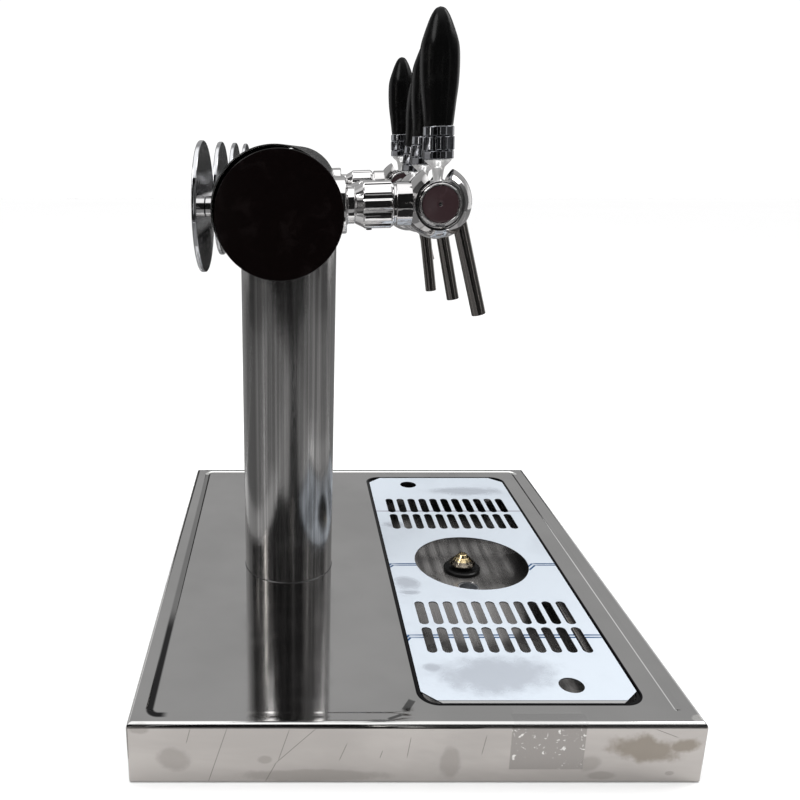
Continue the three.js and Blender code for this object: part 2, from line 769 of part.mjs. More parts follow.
// A ferrule: the ribbed metal foot of the handle
function ferrule(name) {
  const start = stemTop + fit;
  const height = ferruleTop - start;
  const bandTop = start + height * ferruleBandShare;
  const ribTop = start + height * ferruleRibTopShare;
  const root = ferruleBandRadius - ferruleRibDepth;
  const core = turned([
    [0, start],
    [ferruleBandRadius, start],
    [ferruleBandRadius, bandTop],
    [root, bandTop],
    [root, ribTop],
    [ferruleTopRadius, ribTop],
    [ferruleTopRadius - ferruleRibDepth, ferruleTop],
    [0, ferruleTop],
  ], roundMedium);
  const ribs = solid(ribbed(ferruleRadius, ferruleRibDepth * 2, ferruleRibs, bandTop, ribTop));
  const bore = rod(rodRadius + fit, start - overrun, ferruleTop + overrun, roundSmall);
  const body = ribs.add(solid(core)).subtract(solid(bore));
  return named(name, surface(body), chrome);
}

// A grip: the black torpedo that screws onto the lever's rod
function grip(name) {
  const start = ferruleTop + fit;
  const height = gripTop - start;
  const heightShares = [0, 0.2, 0.36, 0.55, 0.68, 0.8, 0.94, 0.985, 1];
  const radiusShares = [0.735, 0.86, 0.965, 1, 0.95, 0.75, 0.42, 0.22, 0];
  const well = rodTop + fit;
  const outer = heightShares.map((share, i) => [gripRadius * radiusShares[i], start + height * share]);
  const inner = [[0, well], [rodRadius + fit, well], [rodRadius + fit, start]];
  return named(name, turned([...inner, ...outer], roundMedium), blackGloss);
}

// A badge's stud: a spacer on the bar, with the screw that passes through its wall
function badgeStud(name) {
  const spacer = solid(alongX(rod(studRadius, -badgeBack + fit, -tubeBore + studRadius, roundMedium)));
  const screw = alongX(rod(studScrewRadius, -badgeBack + overrun, studScrewReach - tubeBore, roundSmall));
  const body = spacer.subtract(barCutter(fit)).add(solid(screw));
  return named(name, surface(body), chrome);
}

// A badge's disc: a round plate with a raised rim about its bare face
function badgeDisc(name) {
  const face = badgeThickness - badgeRecess;
  const profile = [
    [0, 0],
    [badgeRadius - chamfer, 0],
    [badgeRadius, chamfer],
    [badgeRadius, badgeThickness - chamfer],
    [badgeRadius - chamfer, badgeThickness],
    [badgeRadius - badgeRim, badgeThickness],
    [badgeRadius - badgeRim, face],
    [0, face],
  ];
  const geometry = turned(profile, roundLarge).rotateY(-Math.PI / 2).translate(-badgeBack, 0, 0);
  return named(name, geometry, chrome);
}

// A beer line: from a shank's tail, along the bar and down the column to the deck's underside
function beerLine(name, place, tilt, route, side) {
  const tail = new THREE.Vector3(shankTail - fit, place, 0);
  const bend = new THREE.Vector3(shankTail - lineRadius * 2, place, 0);
  const axis = new THREE.Vector3(0, 1, 0);
  const start = [tail, bend].map((point) => point.applyAxisAngle(axis, -radians(tilt)));
  const along = route.alongBarShares.map(([x, y, z]) => new THREE.Vector3(
    x * tubeBore, side * y * tapPitch, z * tubeBore));
  const drop = barHeight - undersideClear;
  const down = route.downColumnShares.map(([x, y, z]) => new THREE.Vector3(
    x * collarBoreRadius, side * y * collarBoreRadius, z * drop));
  const path = new THREE.CatmullRomCurve3([...start, ...along, ...down], false, 'centripetal');
  const section = new THREE.Shape();
  section.absarc(0, 0, lineRadius, 0, 2 * Math.PI);
  const options = { steps: lineSteps, bevelEnabled: false, curveSegments: lineSides / 2, extrudePath: path };
  return named(name, new THREE.ExtrudeGeometry(section, options), clearLine);
}

// The routes of a half's two lines, in the bar's frame: along the bar in shares of the tube's bore
// and of the taps' pitch, then down the column in shares of the collar's bore and of the drop
const outerLineRoute = {
  alongBarShares: [
    [0, -1.387, -0.203],
    [-0.02, -1.21, -0.467],
    [0, -0.847, -0.548],
    [0, -0.5, -0.568],
    [0.1, -0.323, -0.649],
  ],
  downColumnShares: [[0.35, -0.625, -0.1], [0.4, -0.55, -0.157], [0.4, -0.55, -0.418], [0.4, -0.55, -1]],
};
const innerLineRoute = {
  alongBarShares: [[0.061, -0.387, -0.101], [0.183, -0.242, -0.203]],
  downColumnShares: [
    [0.525, -0.35, -0.05],
    [0.675, -0.225, -0.1],
    [0.675, -0.225, -0.209],
    [0.675, -0.225, -0.46],
    [0.675, -0.225, -1],
  ],
};

// One tap, turned about the bar's axis by its own tilt
function tap(number, place, tilt) {
  const name = (piece) => `tap_${number}_${piece}`;
  const group = new THREE.Group();
  group.position.y = place;
  group.rotation.y = -radians(tilt);
  group.add(shank(name('shank')), backNut(name('back_nut')), ribbedCollar(name('collar')));
  const head = new THREE.Group();
  head.position.x = bodyFromBar;
  head.add(tapBody(name('body')), spout(name('spout')), sideCap(name('side_cap')));
  head.add(lever(name('lever')), ferrule(name('ferrule')), grip(name('grip')));
  group.add(head);
  return group;
}

// One badge holder, opposite its tap
function badge(number, place) {
  const group = new THREE.Group();
  group.position.y = place;
  group.add(badgeStud(`badge_${number}_stud`), badgeDisc(`badge_${number}_disc`));
  return group;
}

// The tower: the column with the bar and all that it carries, turned on the deck
function tower() {
  const group = new THREE.Group();
  group.position.set(columnX, -columnFromMiddle, 0);
  group.rotation.z = radians(towerTurnDegrees);
  group.add(columnTube(), columnBaseCollar(), columnClampNut());
  const bar = new THREE.Group();
  bar.position.z = barHeight;
  bar.add(barTube(), endCap('end_cap_near', -1), endCap('end_cap_far', 1));
  const middle = (tapPlaces.length - 1) / 2;
  tapPlaces.forEach((place, i) => {
    const side = i < middle ? 1 : -1;
    const route = Math.abs(i - middle) > 1 ? outerLineRoute : innerLineRoute;
    bar.add(tap(i + 1, place, tapTiltDegrees[i]), badge(i + 1, place));
    bar.add(beerLine(`beer_line_${i + 1}`, place, tapTiltDegrees[i], route, side));
  });
  group.add(bar);
  return group;
}

const dispenser = new THREE.Group();
dispenser.add(deck(), dripPan(), dripGrille(), drainSpigot(), rinserBase(), rinserNozzle(), tower());

export default dispenser;
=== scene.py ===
"""The dressed draft beer dispenser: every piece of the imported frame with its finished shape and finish.

Sizes are in millimetres, in the frame's own axes: the bar lies along Y, the taps point along +X and the
badge holders along -X. The mesh builder turns them into metres.
"""

from __future__ import annotations

import logging
import math
from dataclasses import dataclass, field
from enum import Enum
from typing import Callable, Sequence

import bmesh
import bpy
from mathutils import Matrix, Vector


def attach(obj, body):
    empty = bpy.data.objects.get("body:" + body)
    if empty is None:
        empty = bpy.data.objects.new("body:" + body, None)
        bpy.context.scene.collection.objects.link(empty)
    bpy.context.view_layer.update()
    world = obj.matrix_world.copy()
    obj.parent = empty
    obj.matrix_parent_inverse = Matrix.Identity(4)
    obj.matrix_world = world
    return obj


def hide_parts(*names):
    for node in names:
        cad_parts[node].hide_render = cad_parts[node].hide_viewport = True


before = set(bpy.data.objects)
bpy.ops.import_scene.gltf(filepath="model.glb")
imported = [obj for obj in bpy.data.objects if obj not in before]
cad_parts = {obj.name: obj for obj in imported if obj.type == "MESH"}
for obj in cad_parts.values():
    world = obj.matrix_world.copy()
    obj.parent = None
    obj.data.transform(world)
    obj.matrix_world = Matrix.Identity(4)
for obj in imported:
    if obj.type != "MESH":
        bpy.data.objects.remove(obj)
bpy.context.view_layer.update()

MM = 0.001
LOG = logging.getLogger("dispenser")
TAPS = range(1, 5)  # numbers of the taps, and of the badge holders behind them

Pair = tuple[float, float]
Triple = tuple[float, float, float]
Rows = tuple[tuple[float, ...], ...]
Socket = bpy.types.NodeSocket
Object = bpy.types.Object
Material = bpy.types.Material


# ---------------------------------------------------------------- outlines


def rounded(corners: Sequence[Sequence[float]], closed: bool = True, steps: int = 5) -> list[Pair]:
    """Rounds the corners of an outline or a profile.

    Args:
        corners: (x, y) for a sharp corner or (x, y, radius) for a round one.
        closed: whether the last corner joins the first.
        steps: number of flats in each round corner.

    Returns:
        The outline's points in order.
    """
    points: list[Pair] = []
    count = len(corners)
    for i, corner in enumerate(corners):
        here = Vector(corner[:2])
        at_end = not closed and i in (0, count - 1)
        if len(corner) < 3 or at_end or corner[2] <= 0:
            points.append((here.x, here.y))
            continue
        to_last = Vector(corners[i - 1][:2]) - here
        to_next = Vector(corners[(i + 1) % count][:2]) - here
        half = to_last.angle(to_next) / 2
        reach = min(corner[2] / math.tan(half), 0.49 * to_last.length, 0.49 * to_next.length)
        middle = here + (to_last.normalized() + to_next.normalized()).normalized() * reach / math.cos(half)
        first = here + to_last.normalized() * reach - middle
        last = here + to_next.normalized() * reach - middle
        turn = first.angle_signed(last) * -1
        for step in range(steps + 1):
            spoke = Matrix.Rotation(turn * step / steps, 2) @ first
            points.append((middle.x + spoke.x, middle.y + spoke.y))
    return points


def rounded_rectangle(half_x: float, half_y: float, radius: float, x: float = 0, y: float = 0,
                      steps: int = 8) -> list[Pair]:
    """A rectangle with round corners, anticlockwise.

    Args:
        half_x: half its width.
        half_y: half its length.
        radius: radius of its corners.
        x: its middle's x.
        y: its middle's y.
        steps: number of flats in each corner.

    Returns:
        Its points, the same number for any size.
    """
    points = []
    for quarter, (sx, sy) in enumerate(((1, 1), (-1, 1), (-1, -1), (1, -1))):
        for step in range(steps + 1):
            angle = (quarter + step / steps) * math.pi / 2
            points.append((x + sx * (half_x - radius) + radius * math.cos(angle),
                           y + sy * (half_y - radius) + radius * math.sin(angle)))
    return points


def circle(radius: float, x: float = 0, y: float = 0, count: int = 64) -> list[Pair]:
    """A round outline, anticlockwise.

    Args:
        radius: its radius.
        x: its middle's x.
        y: its middle's y.
        count: number of its flats.

    Returns:
        Its points.
    """
    turns = [2 * math.pi * i / count for i in range(count)]
    return [(x + radius * math.cos(a), y + radius * math.sin(a)) for a in turns]


def grown(points: Sequence[Pair], by: float) -> list[Pair]:
    """Moves an anticlockwise outline outwards.

    Args:
        points: the outline.
        by: how far; a negative number moves it inwards.

    Returns:
        The moved outline, point for point.
    """
    moved = []
    count = len(points)
    for i, point in enumerate(points):
        before = Vector(point) - Vector(points[i - 1])
        after = Vector(points[(i + 1) % count]) - Vector(point)
        first = Vector((before.y, -before.x)).normalized()
        second = Vector((after.y, -after.x)).normalized()
        middle = (first + second).normalized()
        reach = by / max(0.3, middle.dot(first))
        moved.append((point[0] + middle.x * reach, point[1] + middle.y * reach))
    return moved


def flowing(points: Sequence[Vector], steps: int = 8) -> list[Vector]:
    """A smooth centripetal curve through points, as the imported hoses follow.

    Args:
        points: the points it passes through.
        steps: number of pieces between two of them.

    Returns:
        The points along the curve.
    """
    ends = [points[0] * 2 - points[1], *points, points[-1] * 2 - points[-2]]
    path = []
    for i in range(1, len(ends) - 2):
        quad = ends[i - 1:i + 3]
        knots = [0.0]
        for a, b in zip(quad, quad[1:]):
            knots.append(knots[-1] + max((b - a).length, 1e-6) ** 0.5)
        for step in range(steps):
            t = knots[1] + (knots[2] - knots[1]) * step / steps
            row = list(quad)
            for level in (1, 2):
                row = [row[j].lerp(row[j + 1], (t - knots[j]) / (knots[j + level] - knots[j]))
                       for j in range(4 - level)]
            path.append(row[0].lerp(row[1], (t - knots[1]) / (knots[2] - knots[1])))
    path.append(points[-1])
    return path


def quarter_turn(steps: int) -> list[float]:
    """The angles of a quarter turn in equal steps, from nothing to a right angle."""
    return [math.radians(90 * i / steps) for i in range(steps + 1)]


def ease(value: float) -> float:
    """A soft step: nothing up to zero, one from one upwards."""
    value = max(0.0, min(1.0, value))
    return value * value * (3 - 2 * value)


# ---------------------------------------------------------------- shapes


class Axis(Enum):
    """The axis that a turned piece is made about."""

    X = Matrix.Rotation(math.pi / 2, 4, "Y")
    Y = Matrix.Rotation(-math.pi / 2, 4, "X")
    Z = Matrix.Identity(4)


class Shape:
    """A mesh in the making, in millimetres."""

    def __init__(self, name: str) -> None:
        """Starts an empty shape with the name of its piece."""
        self.name = name
        self.bm = bmesh.new()

    def loop(self, points: Sequence[Pair], z: float) -> list[bmesh.types.BMVert]:
        """Adds the points of an outline at a height and returns them."""
        return [self.bm.verts.new((x, y, z)) for x, y in points]

    def bridge(self, first: Sequence, second: Sequence) -> None:
        """Joins two closed rows with faces.

        Args:
            first: one row, or a single point.
            second: the other row, with as many points, or a single point.
        """
        count = max(len(first), len(second))
        for i in range(count):
            j = (i + 1) % count
            corners = (first[i % len(first)], first[j % len(first)], second[j % len(second)],
                       second[i % len(second)])
            face = list(dict.fromkeys(corners))
            if len(face) > 2:
                self.bm.faces.new(face)

    def skin(self, rows: Sequence[Sequence]) -> tuple[Sequence, Sequence]:
        """Joins each row with the next.

        Args:
            rows: closed rows in order.

        Returns:
            The first and the last row.
        """
        for first, second in zip(rows, rows[1:]):
            self.bridge(first, second)
        return rows[0], rows[-1]

    def wall(self, points: Sequence[Pair], levels: Sequence[Pair]) -> tuple[Sequence, Sequence]:
        """Adds a wall that follows an outline.

        Args:
            points: the outline.
            levels: how far outwards and how high each of its rows lies.

        Returns:
            The first and the last row.
        """
        return self.skin([self.loop(grown(points, by), z) for by, z in levels])

    def fill(self, *rows: Sequence) -> None:
        """Fills the flat region between closed rows.

        Args:
            rows: its outer edge, then the edges of its holes.
        """
        edges = []
        for row in rows:
            for a, b in zip(row, [*row[1:], row[0]]):
                edges.append(self.bm.edges.get((a, b)) or self.bm.edges.new((a, b)))
        bmesh.ops.triangle_fill(self.bm, use_beauty=True, use_dissolve=False, edges=edges)

    def turn(self, profile: Sequence[Pair], axis: Axis = Axis.Z, count: int = 96, ring: bool = False,
             swell: Callable[[float, float, float], float] | None = None,
             place: Matrix | None = None) -> Shape:
        """Adds a turned surface.

        Args:
            profile: (radius, height) points; a radius of nothing closes it on the axis.
            axis: the axis it is made about.
            count: number of its flats.
            ring: whether the profile closes on itself.
            swell: gives another radius from (radius, height, angle).
            place: moves it once it is made.

        Returns:
            The shape itself.
        """
        rows = []
        matrix = (place or Matrix.Identity(4)) @ axis.value
        for radius, height in profile:
            around = 1 if radius < 1e-6 else count
            row = []
            for i in range(around):
                angle = 2 * math.pi * i / count
                reach = swell(radius, height, angle) if swell and radius > 0 else radius
                row.append(self.bm.verts.new(
                    matrix @ Vector((reach * math.cos(angle), reach * math.sin(angle), height))))
            rows.append(row)
        self.skin(rows + rows[:1] if ring else rows)
        return self

    def plate(self, outline: Sequence[Pair], holes: Sequence[Sequence[Pair]], low: float, high: float,
              edge: float) -> Shape:
        """Adds a flat plate with softened edges.

        Args:
            outline: its anticlockwise outline.
            holes: its holes, anticlockwise too.
            low: height of its underside.
            high: height of its top.
            edge: width of the softened edge.

        Returns:
            The shape itself.
        """
        walls = []
        for side, points in [(-1, outline), *((1, hole) for hole in holes)]:
            full, part = side * edge, side * edge * 0.3
            walls.append(self.wall(points, (
                (full, high), (part, high - edge * 0.3), (0, high - edge), (0, low + edge),
                (part, low + edge * 0.3), (full, low))))
        for rows in zip(*walls):
            self.fill(*rows)
        return self

    def made(self, angle: float = 32, weighted: bool = True) -> Object:
        """Finishes the mesh in metres and puts it in the scene.

        Args:
            angle: edges sharper than this many degrees stay sharp.
            weighted: whether flat faces keep flat reflections up to their edges.

        Returns:
            The new object.
        """
        bmesh.ops.scale(self.bm, vec=(MM, MM, MM), verts=self.bm.verts)
        bmesh.ops.recalc_face_normals(self.bm, faces=self.bm.faces)
        mesh = bpy.data.meshes.new(self.name)
        self.bm.to_mesh(mesh)
        self.bm.free()
        smooth(mesh, angle)
        made = new_object(self.name, mesh)
        if weighted:
            weigh(made)
        return made


def new_object(name: str, data: bpy.types.ID) -> Object:
    """Puts an object in the scene.

    Args:
        name: its name.
        data: its mesh, curve, camera or light.

    Returns:
        The new object.
    """
    made = bpy.data.objects.new(name, data)
    bpy.context.scene.collection.objects.link(made)
    return made


def smooth(mesh: bpy.types.Mesh, angle: float) -> None:
    """Shades a mesh smooth, but for edges sharper than an angle in degrees."""
    mesh.polygons.foreach_set("use_smooth", [True] * len(mesh.polygons))
    mesh.set_sharp_from_angle(angle=math.radians(angle))


def weigh(piece: Object) -> None:
    """Lets the large faces of a piece lead its shading.

    Args:
        piece: the piece, which gets a modifier.
    """
    weights = piece.modifiers.new("even_reflections", "WEIGHTED_NORMAL")
    weights.keep_sharp = True
    weights.weight = 90


def cut(piece: Object, tool: Object, joined: bool = False) -> None:
    """Cuts a tool out of a piece, or joins it on, and deletes the tool.

    Args:
        piece: the piece that is changed.
        tool: the closed shape that cuts it.
        joined: whether the tool is joined on in place of cut out.
    """
    step = piece.modifiers.new("cut", "BOOLEAN")
    step.operation = "UNION" if joined else "DIFFERENCE"
    step.solver = "EXACT"
    step.object = tool
    settle(piece)
    bpy.data.objects.remove(tool)


def drill(piece: Object, radius: float, low: float, high: float, axis: Axis = Axis.Z, count: int = 64,
          place: Matrix | None = None) -> None:
    """Cuts a round hole.

    Args:
        piece: the piece that is drilled.
        radius: the hole's radius.
        low: where it starts along its axis.
        high: where it ends.
        axis: its axis.
        count: number of its flats.
        place: moves it before it is cut.
    """
    profile = [(0, low), (radius, low), (radius, high), (0, high)]
    cut(piece, Shape("drill").turn(profile, axis, count, place=place).made(weighted=False))


def baked(piece: Object) -> bpy.types.Mesh:
    """Makes a new mesh of an object, as it looks with its modifiers or its bevel.

    Args:
        piece: the object.

    Returns:
        The mesh.
    """
    bpy.context.view_layer.update()
    return bpy.data.meshes.new_from_object(piece.evaluated_get(bpy.context.evaluated_depsgraph_get()))


def settle(piece: Object) -> None:
    """Applies all modifiers of a piece to its mesh.

    Args:
        piece: the piece, which gets the new mesh.
    """
    mesh, old = baked(piece), piece.data
    piece.modifiers.clear()
    piece.data = mesh
    bpy.data.meshes.remove(old)
    mesh.name = piece.name


def tube(name: str, points: Sequence[Vector], radius: float, closed: bool = False, sides: int = 6) -> Object:
    """A round wire or hose along points.

    Args:
        name: the piece's name.
        points: its middle line, in millimetres.
        radius: its radius in millimetres.
        closed: whether its ends join.
        sides: a quarter of the number of its flats, less one.

    Returns:
        The new mesh object.
    """
    line = bpy.data.curves.new(name + "_line", "CURVE")
    line.dimensions = "3D"
    line.bevel_depth = radius * MM
    line.bevel_resolution = sides
    line.use_fill_caps = not closed
    spline = line.splines.new("POLY")
    spline.points.add(len(points) - 1)
    for knot, point in zip(spline.points, points):
        knot.co = (*(point * MM), 1)
    spline.use_cyclic_u = closed
    holder = new_object(name + "_line", line)
    mesh = baked(holder)
    bpy.data.objects.remove(holder)
    bpy.data.curves.remove(line)
    smooth(mesh, 50)
    return new_object(name, mesh)


# ---------------------------------------------------------------- finishes


def shade(colour: Triple, share: float) -> Triple:
    """A darker or brighter tone of a colour."""
    return tuple(c * share for c in colour)


class Graph:
    """The nodes of one material, with short ways to add what the finishes share. Places are in millimetres."""

    def __init__(self, name: str) -> None:
        """Starts a material with one shader.

        Args:
            name: the material's name.
        """
        self.material = bpy.data.materials.new(name)
        self.material.use_nodes = True
        self.tree = self.material.node_tree
        self.tree.nodes.clear()
        self.shader = self.node("BsdfPrincipled")
        out = self.node("OutputMaterial")
        self.tree.links.new(self.shader.outputs[0], out.inputs["Surface"])
        scale = self.node("VectorMath", operation="SCALE")
        self.put(scale.inputs[0], self.node("TexCoord").outputs["Object"])
        scale.inputs["Scale"].default_value = 1 / MM
        self.place: Socket = scale.outputs[0]
        self.edges: Socket | None = None

    def node(self, kind: str, **settings: object) -> bpy.types.Node:
        """Adds a node.

        Args:
            kind: its type, less the start that all shader nodes share.
            settings: its settings by name.

        Returns:
            The node.
        """
        made = self.tree.nodes.new("ShaderNode" + kind)
        for key, value in settings.items():
            setattr(made, key, value)
        return made

    def put(self, socket: Socket, value: object) -> None:
        """Feeds an input.

        Args:
            socket: the input.
            value: a socket, which is linked to it, or a plain value, which is set.
        """
        if isinstance(value, Socket):
            self.tree.links.new(value, socket)
        else:
            socket.default_value = value

    def sum(self, operation: str, *values: object) -> Socket:
        """Adds one step of arithmetic.

        Args:
            operation: its name.
            values: its inputs, numbers or sockets.

        Returns:
            Its result.
        """
        made = self.node("Math", operation=operation)
        for socket, value in zip(made.inputs, values):
            self.put(socket, value)
        return made.outputs[0]

    def axes(self, place: Socket | None = None) -> Sequence[Socket]:
        """Splits a place into its parts.

        Args:
            place: the place, that of the surface when left out.

        Returns:
            Its x, y and z.
        """
        split = self.node("SeparateXYZ")
        self.put(split.inputs[0], self.place if place is None else place)
        return split.outputs

    def noise(self, size: float, detail: float = 3, rough: float = 0.5, stretch: Triple = (1, 1, 1),
              warp: float = 0) -> Socket:
        """Cloudy variation.

        Args:
            size: width of a cloud in millimetres.
            detail: how many finer levels it has.
            rough: how strong these are.
            stretch: how much longer a cloud is along each axis.
            warp: how much it is drawn out of shape.

        Returns:
            A value about a half.
        """
        mapping = self.node("Mapping")
        self.put(mapping.inputs["Vector"], self.place)
        mapping.inputs["Scale"].default_value = [1 / s for s in stretch]
        made = self.node("TexNoise")
        self.put(made.inputs["Vector"], mapping.outputs[0])
        for key, value in (("Scale", 1 / size), ("Detail", detail), ("Roughness", rough), ("Distortion", warp)):
            made.inputs[key].default_value = value
        return made.outputs["Fac"]

    def between(self, value: Socket, low: float, high: float, start: object = 0.0, end: object = 1.0) -> Socket:
        """Maps a value softly from one span to another.

        Args:
            value: what is mapped.
            low: where the first span starts.
            high: where it ends.
            start: the result at its start.
            end: the result at its end.

        Returns:
            The mapped value.
        """
        made = self.node("MapRange", interpolation_type="SMOOTHSTEP")
        for key, number in (("Value", value), ("From Min", low), ("From Max", high), ("To Min", start),
                            ("To Max", end)):
            self.put(made.inputs[key], number)
        return made.outputs[0]

    def mix(self, share: object, first: object, second: object) -> Socket:
        """Blends two colours.

        Args:
            share: how much of the second shows.
            first: three numbers or a socket.
            second: three numbers or a socket.

        Returns:
            The blend.
        """
        made = self.node("Mix", data_type="RGBA")
        self.put(made.inputs["Factor"], share)
        for key, colour in ((6, first), (7, second)):
            self.put(made.inputs[key], colour if isinstance(colour, Socket) else (*colour, 1))
        return made.outputs[2]

    def paint(self, colour: object, mark: Socket, tint: object, share: float) -> Socket:
        """Lays a thin tint over a colour.

        Args:
            colour: the colour below.
            mark: one where the tint lies, nothing beside it.
            tint: the tint.
            share: how much of the colour below it hides.

        Returns:
            The new colour.
        """
        return self.mix(self.sum("MULTIPLY", mark, share), colour, tint)

    def bump(self, height: Socket, depth: float, below: Socket | None = None) -> Socket:
        """Turns a height into a relief.

        Args:
            height: the height, from nothing to one.
            depth: its depth in millimetres.
            below: the normal of a coarser or finer relief that it is added to.

        Returns:
            The new normal.
        """
        made = self.node("Bump")
        made.inputs["Distance"].default_value = depth * MM
        self.put(made.inputs["Height"], height)
        if below:
            self.put(made.inputs["Normal"], below)
        return made.outputs[0]

    def spot(self, middle: Triple, half: Triple, turn: Triple = (0, 0, 0), soft: float = 0.5,
             square: bool = False, ragged: float = 0) -> Socket:
        """A mark at one place.

        Args:
            middle: its middle.
            half: half its size along each of its axes.
            turn: its turn about each axis, in degrees.
            soft: share of its size over which it fades.
            square: whether it is a rectangle in place of an oval.
            ragged: how far its edge wanders, as a share of its size.

        Returns:
            One inside the mark, nothing outside it.
        """
        mapping = self.node("Mapping", vector_type="TEXTURE")
        self.put(mapping.inputs["Vector"], self.place)
        mapping.inputs["Location"].default_value = middle
        mapping.inputs["Rotation"].default_value = [math.radians(angle) for angle in turn]
        mapping.inputs["Scale"].default_value = half
        if square:
            sides = self.node("VectorMath", operation="ABSOLUTE")
            self.put(sides.inputs[0], mapping.outputs[0])
            x, y, z = self.axes(sides.outputs[0])
            reach = self.sum("MAXIMUM", self.sum("MAXIMUM", x, y), z)
        else:
            length = self.node("VectorMath", operation="LENGTH")
            self.put(length.inputs[0], mapping.outputs[0])
            reach = length.outputs["Value"]
        if ragged:
            self.edges = self.edges or self.noise(14, 4, 0.62)
            reach = self.sum("MULTIPLY_ADD", self.edges, ragged * 4, self.sum("SUBTRACT", reach, ragged * 2))
        return self.between(reach, 1 + soft / 2, 1 - soft / 2)

    def stroke(self, start: Triple, end: Triple, half: float, soft: float = 0.5) -> Socket:
        """A straight thin mark that lies in a plane of constant y or of constant z.

        Args:
            start: one end.
            end: the other end.
            half: half its width.
            soft: share of its width over which it fades.

        Returns:
            One on the mark, nothing beside it.
        """
        run = Vector(end) - Vector(start)
        middle = (Vector(start) + Vector(end)) / 2
        deep = 1.5  # half its depth into the surface
        if run.z:
            turn = (0, -math.degrees(math.atan2(run.z, run.x)), 0)
            size = (run.length / 2, deep, half)
        else:
            turn = (0, 0, math.degrees(math.atan2(run.y, run.x)))
            size = (run.length / 2, half, deep)
        return self.spot(tuple(middle), size, turn, soft, square=True)

    def frame(self, middle: Pair, half: Pair, radius: float, reach: float, soft: float) -> Socket:
        """A line along a rounded rectangle's outline, drawn on surfaces that face up.

        Args:
            middle: the rectangle's middle.
            half: half its sides.
            radius: its corners' radius.
            reach: half the line's width.
            soft: width over which it fades.

        Returns:
            One on the line, nothing beside it.
        """
        sides = [self.sum("SUBTRACT", self.sum("ABSOLUTE", self.sum("SUBTRACT", axis, centre)), side - radius)
                 for axis, centre, side in zip(self.axes(), middle, half)]
        out = [self.sum("POWER", self.sum("MAXIMUM", side, 0.0), 2.0) for side in sides]
        corner = self.sum("SUBTRACT", self.sum("SQRT", self.sum("ADD", *out)), radius)
        return self.between(self.sum("ABSOLUTE", corner), reach + soft, reach)

    def marks(self, spots: Sequence[Socket]) -> Socket:
        """Joins several marks into one.

        Args:
            spots: the marks, at least one.

        Returns:
            One where any of them is.
        """
        joined = spots[0]
        for spot in spots[1:]:
            joined = self.sum("MAXIMUM", joined, spot)
        return joined

    def finish(self, **values: object) -> Material:
        """Feeds the shader.

        Args:
            values: what goes into each of its inputs, by name, with _ for a space.

        Returns:
            The material.
        """
        for key, value in values.items():
            socket = self.shader.inputs[key.replace("_", " ")]
            if isinstance(value, tuple) and len(value) == 3 and socket.type == "RGBA":
                value = (*value, 1)
            self.put(socket, value)
        return self.material


@dataclass(frozen=True)
class Steel:
    """Polished stainless steel with its grain, streaks, smudges and shallow waves."""

    name: str
    colour: Triple = (0.52, 0.515, 0.51)
    roughness: float = 0.05
    smudge: float = 0.08
    grain: Triple = (1, 1, 1)
    grain_depth: float = 0.004
    streak: float = 0.0
    wave: float = 0.08
    streak_kinds: Rows = ((13, 2, 0.5, 0.36, 0.64, 1), (2.1, 3, 0.62, 0.38, 0.62, 0.8))
    streak_tone: float = 0.42
    streak_length: float = 500
    smudge_size: float = 45
    cloud_size: float = 110
    cloud_tone: float = 0.9
    wave_size: float = 90

    def graph(self) -> tuple[Graph, Socket, Socket, Socket]:
        """Starts the finish.

        Returns:
            The graph, and its colour, roughness and normal, for the marks of one piece to be added.
        """
        g = Graph(self.name)
        smudges = g.between(g.noise(self.smudge_size, 4, 0.6, warp=0.6), 0.45, 0.75)
        fine = g.noise(0.5, 2, 0.6, self.grain)
        clouds = g.between(g.noise(self.cloud_size, 3), 0.3, 0.7)
        colour = g.mix(clouds, self.colour, shade(self.colour, self.cloud_tone))
        if self.streak:
            long = tuple(s if s == 1 else self.streak_length for s in self.grain)
            for width, detail, rough, low, high, share in self.streak_kinds:
                lines = g.between(g.noise(width, detail, rough, long), low, high)
                colour = g.paint(colour, lines, shade(self.colour, self.streak_tone), self.streak * share)
        roughness = g.sum("ADD", g.sum("MULTIPLY", smudges, self.smudge),
                          g.between(fine, 0.3, 0.7, self.roughness * 0.8, self.roughness * 1.25))
        normal = g.bump(g.noise(self.wave_size, 1, 0.4), self.wave, g.bump(fine, self.grain_depth))
        return g, colour, roughness, normal

    def make(self) -> Material:
        """The plain finish, without marks of its own."""
        g, colour, roughness, normal = self.graph()
        return g.finish(Base_Color=colour, Metallic=1.0, Roughness=roughness, Normal=normal)


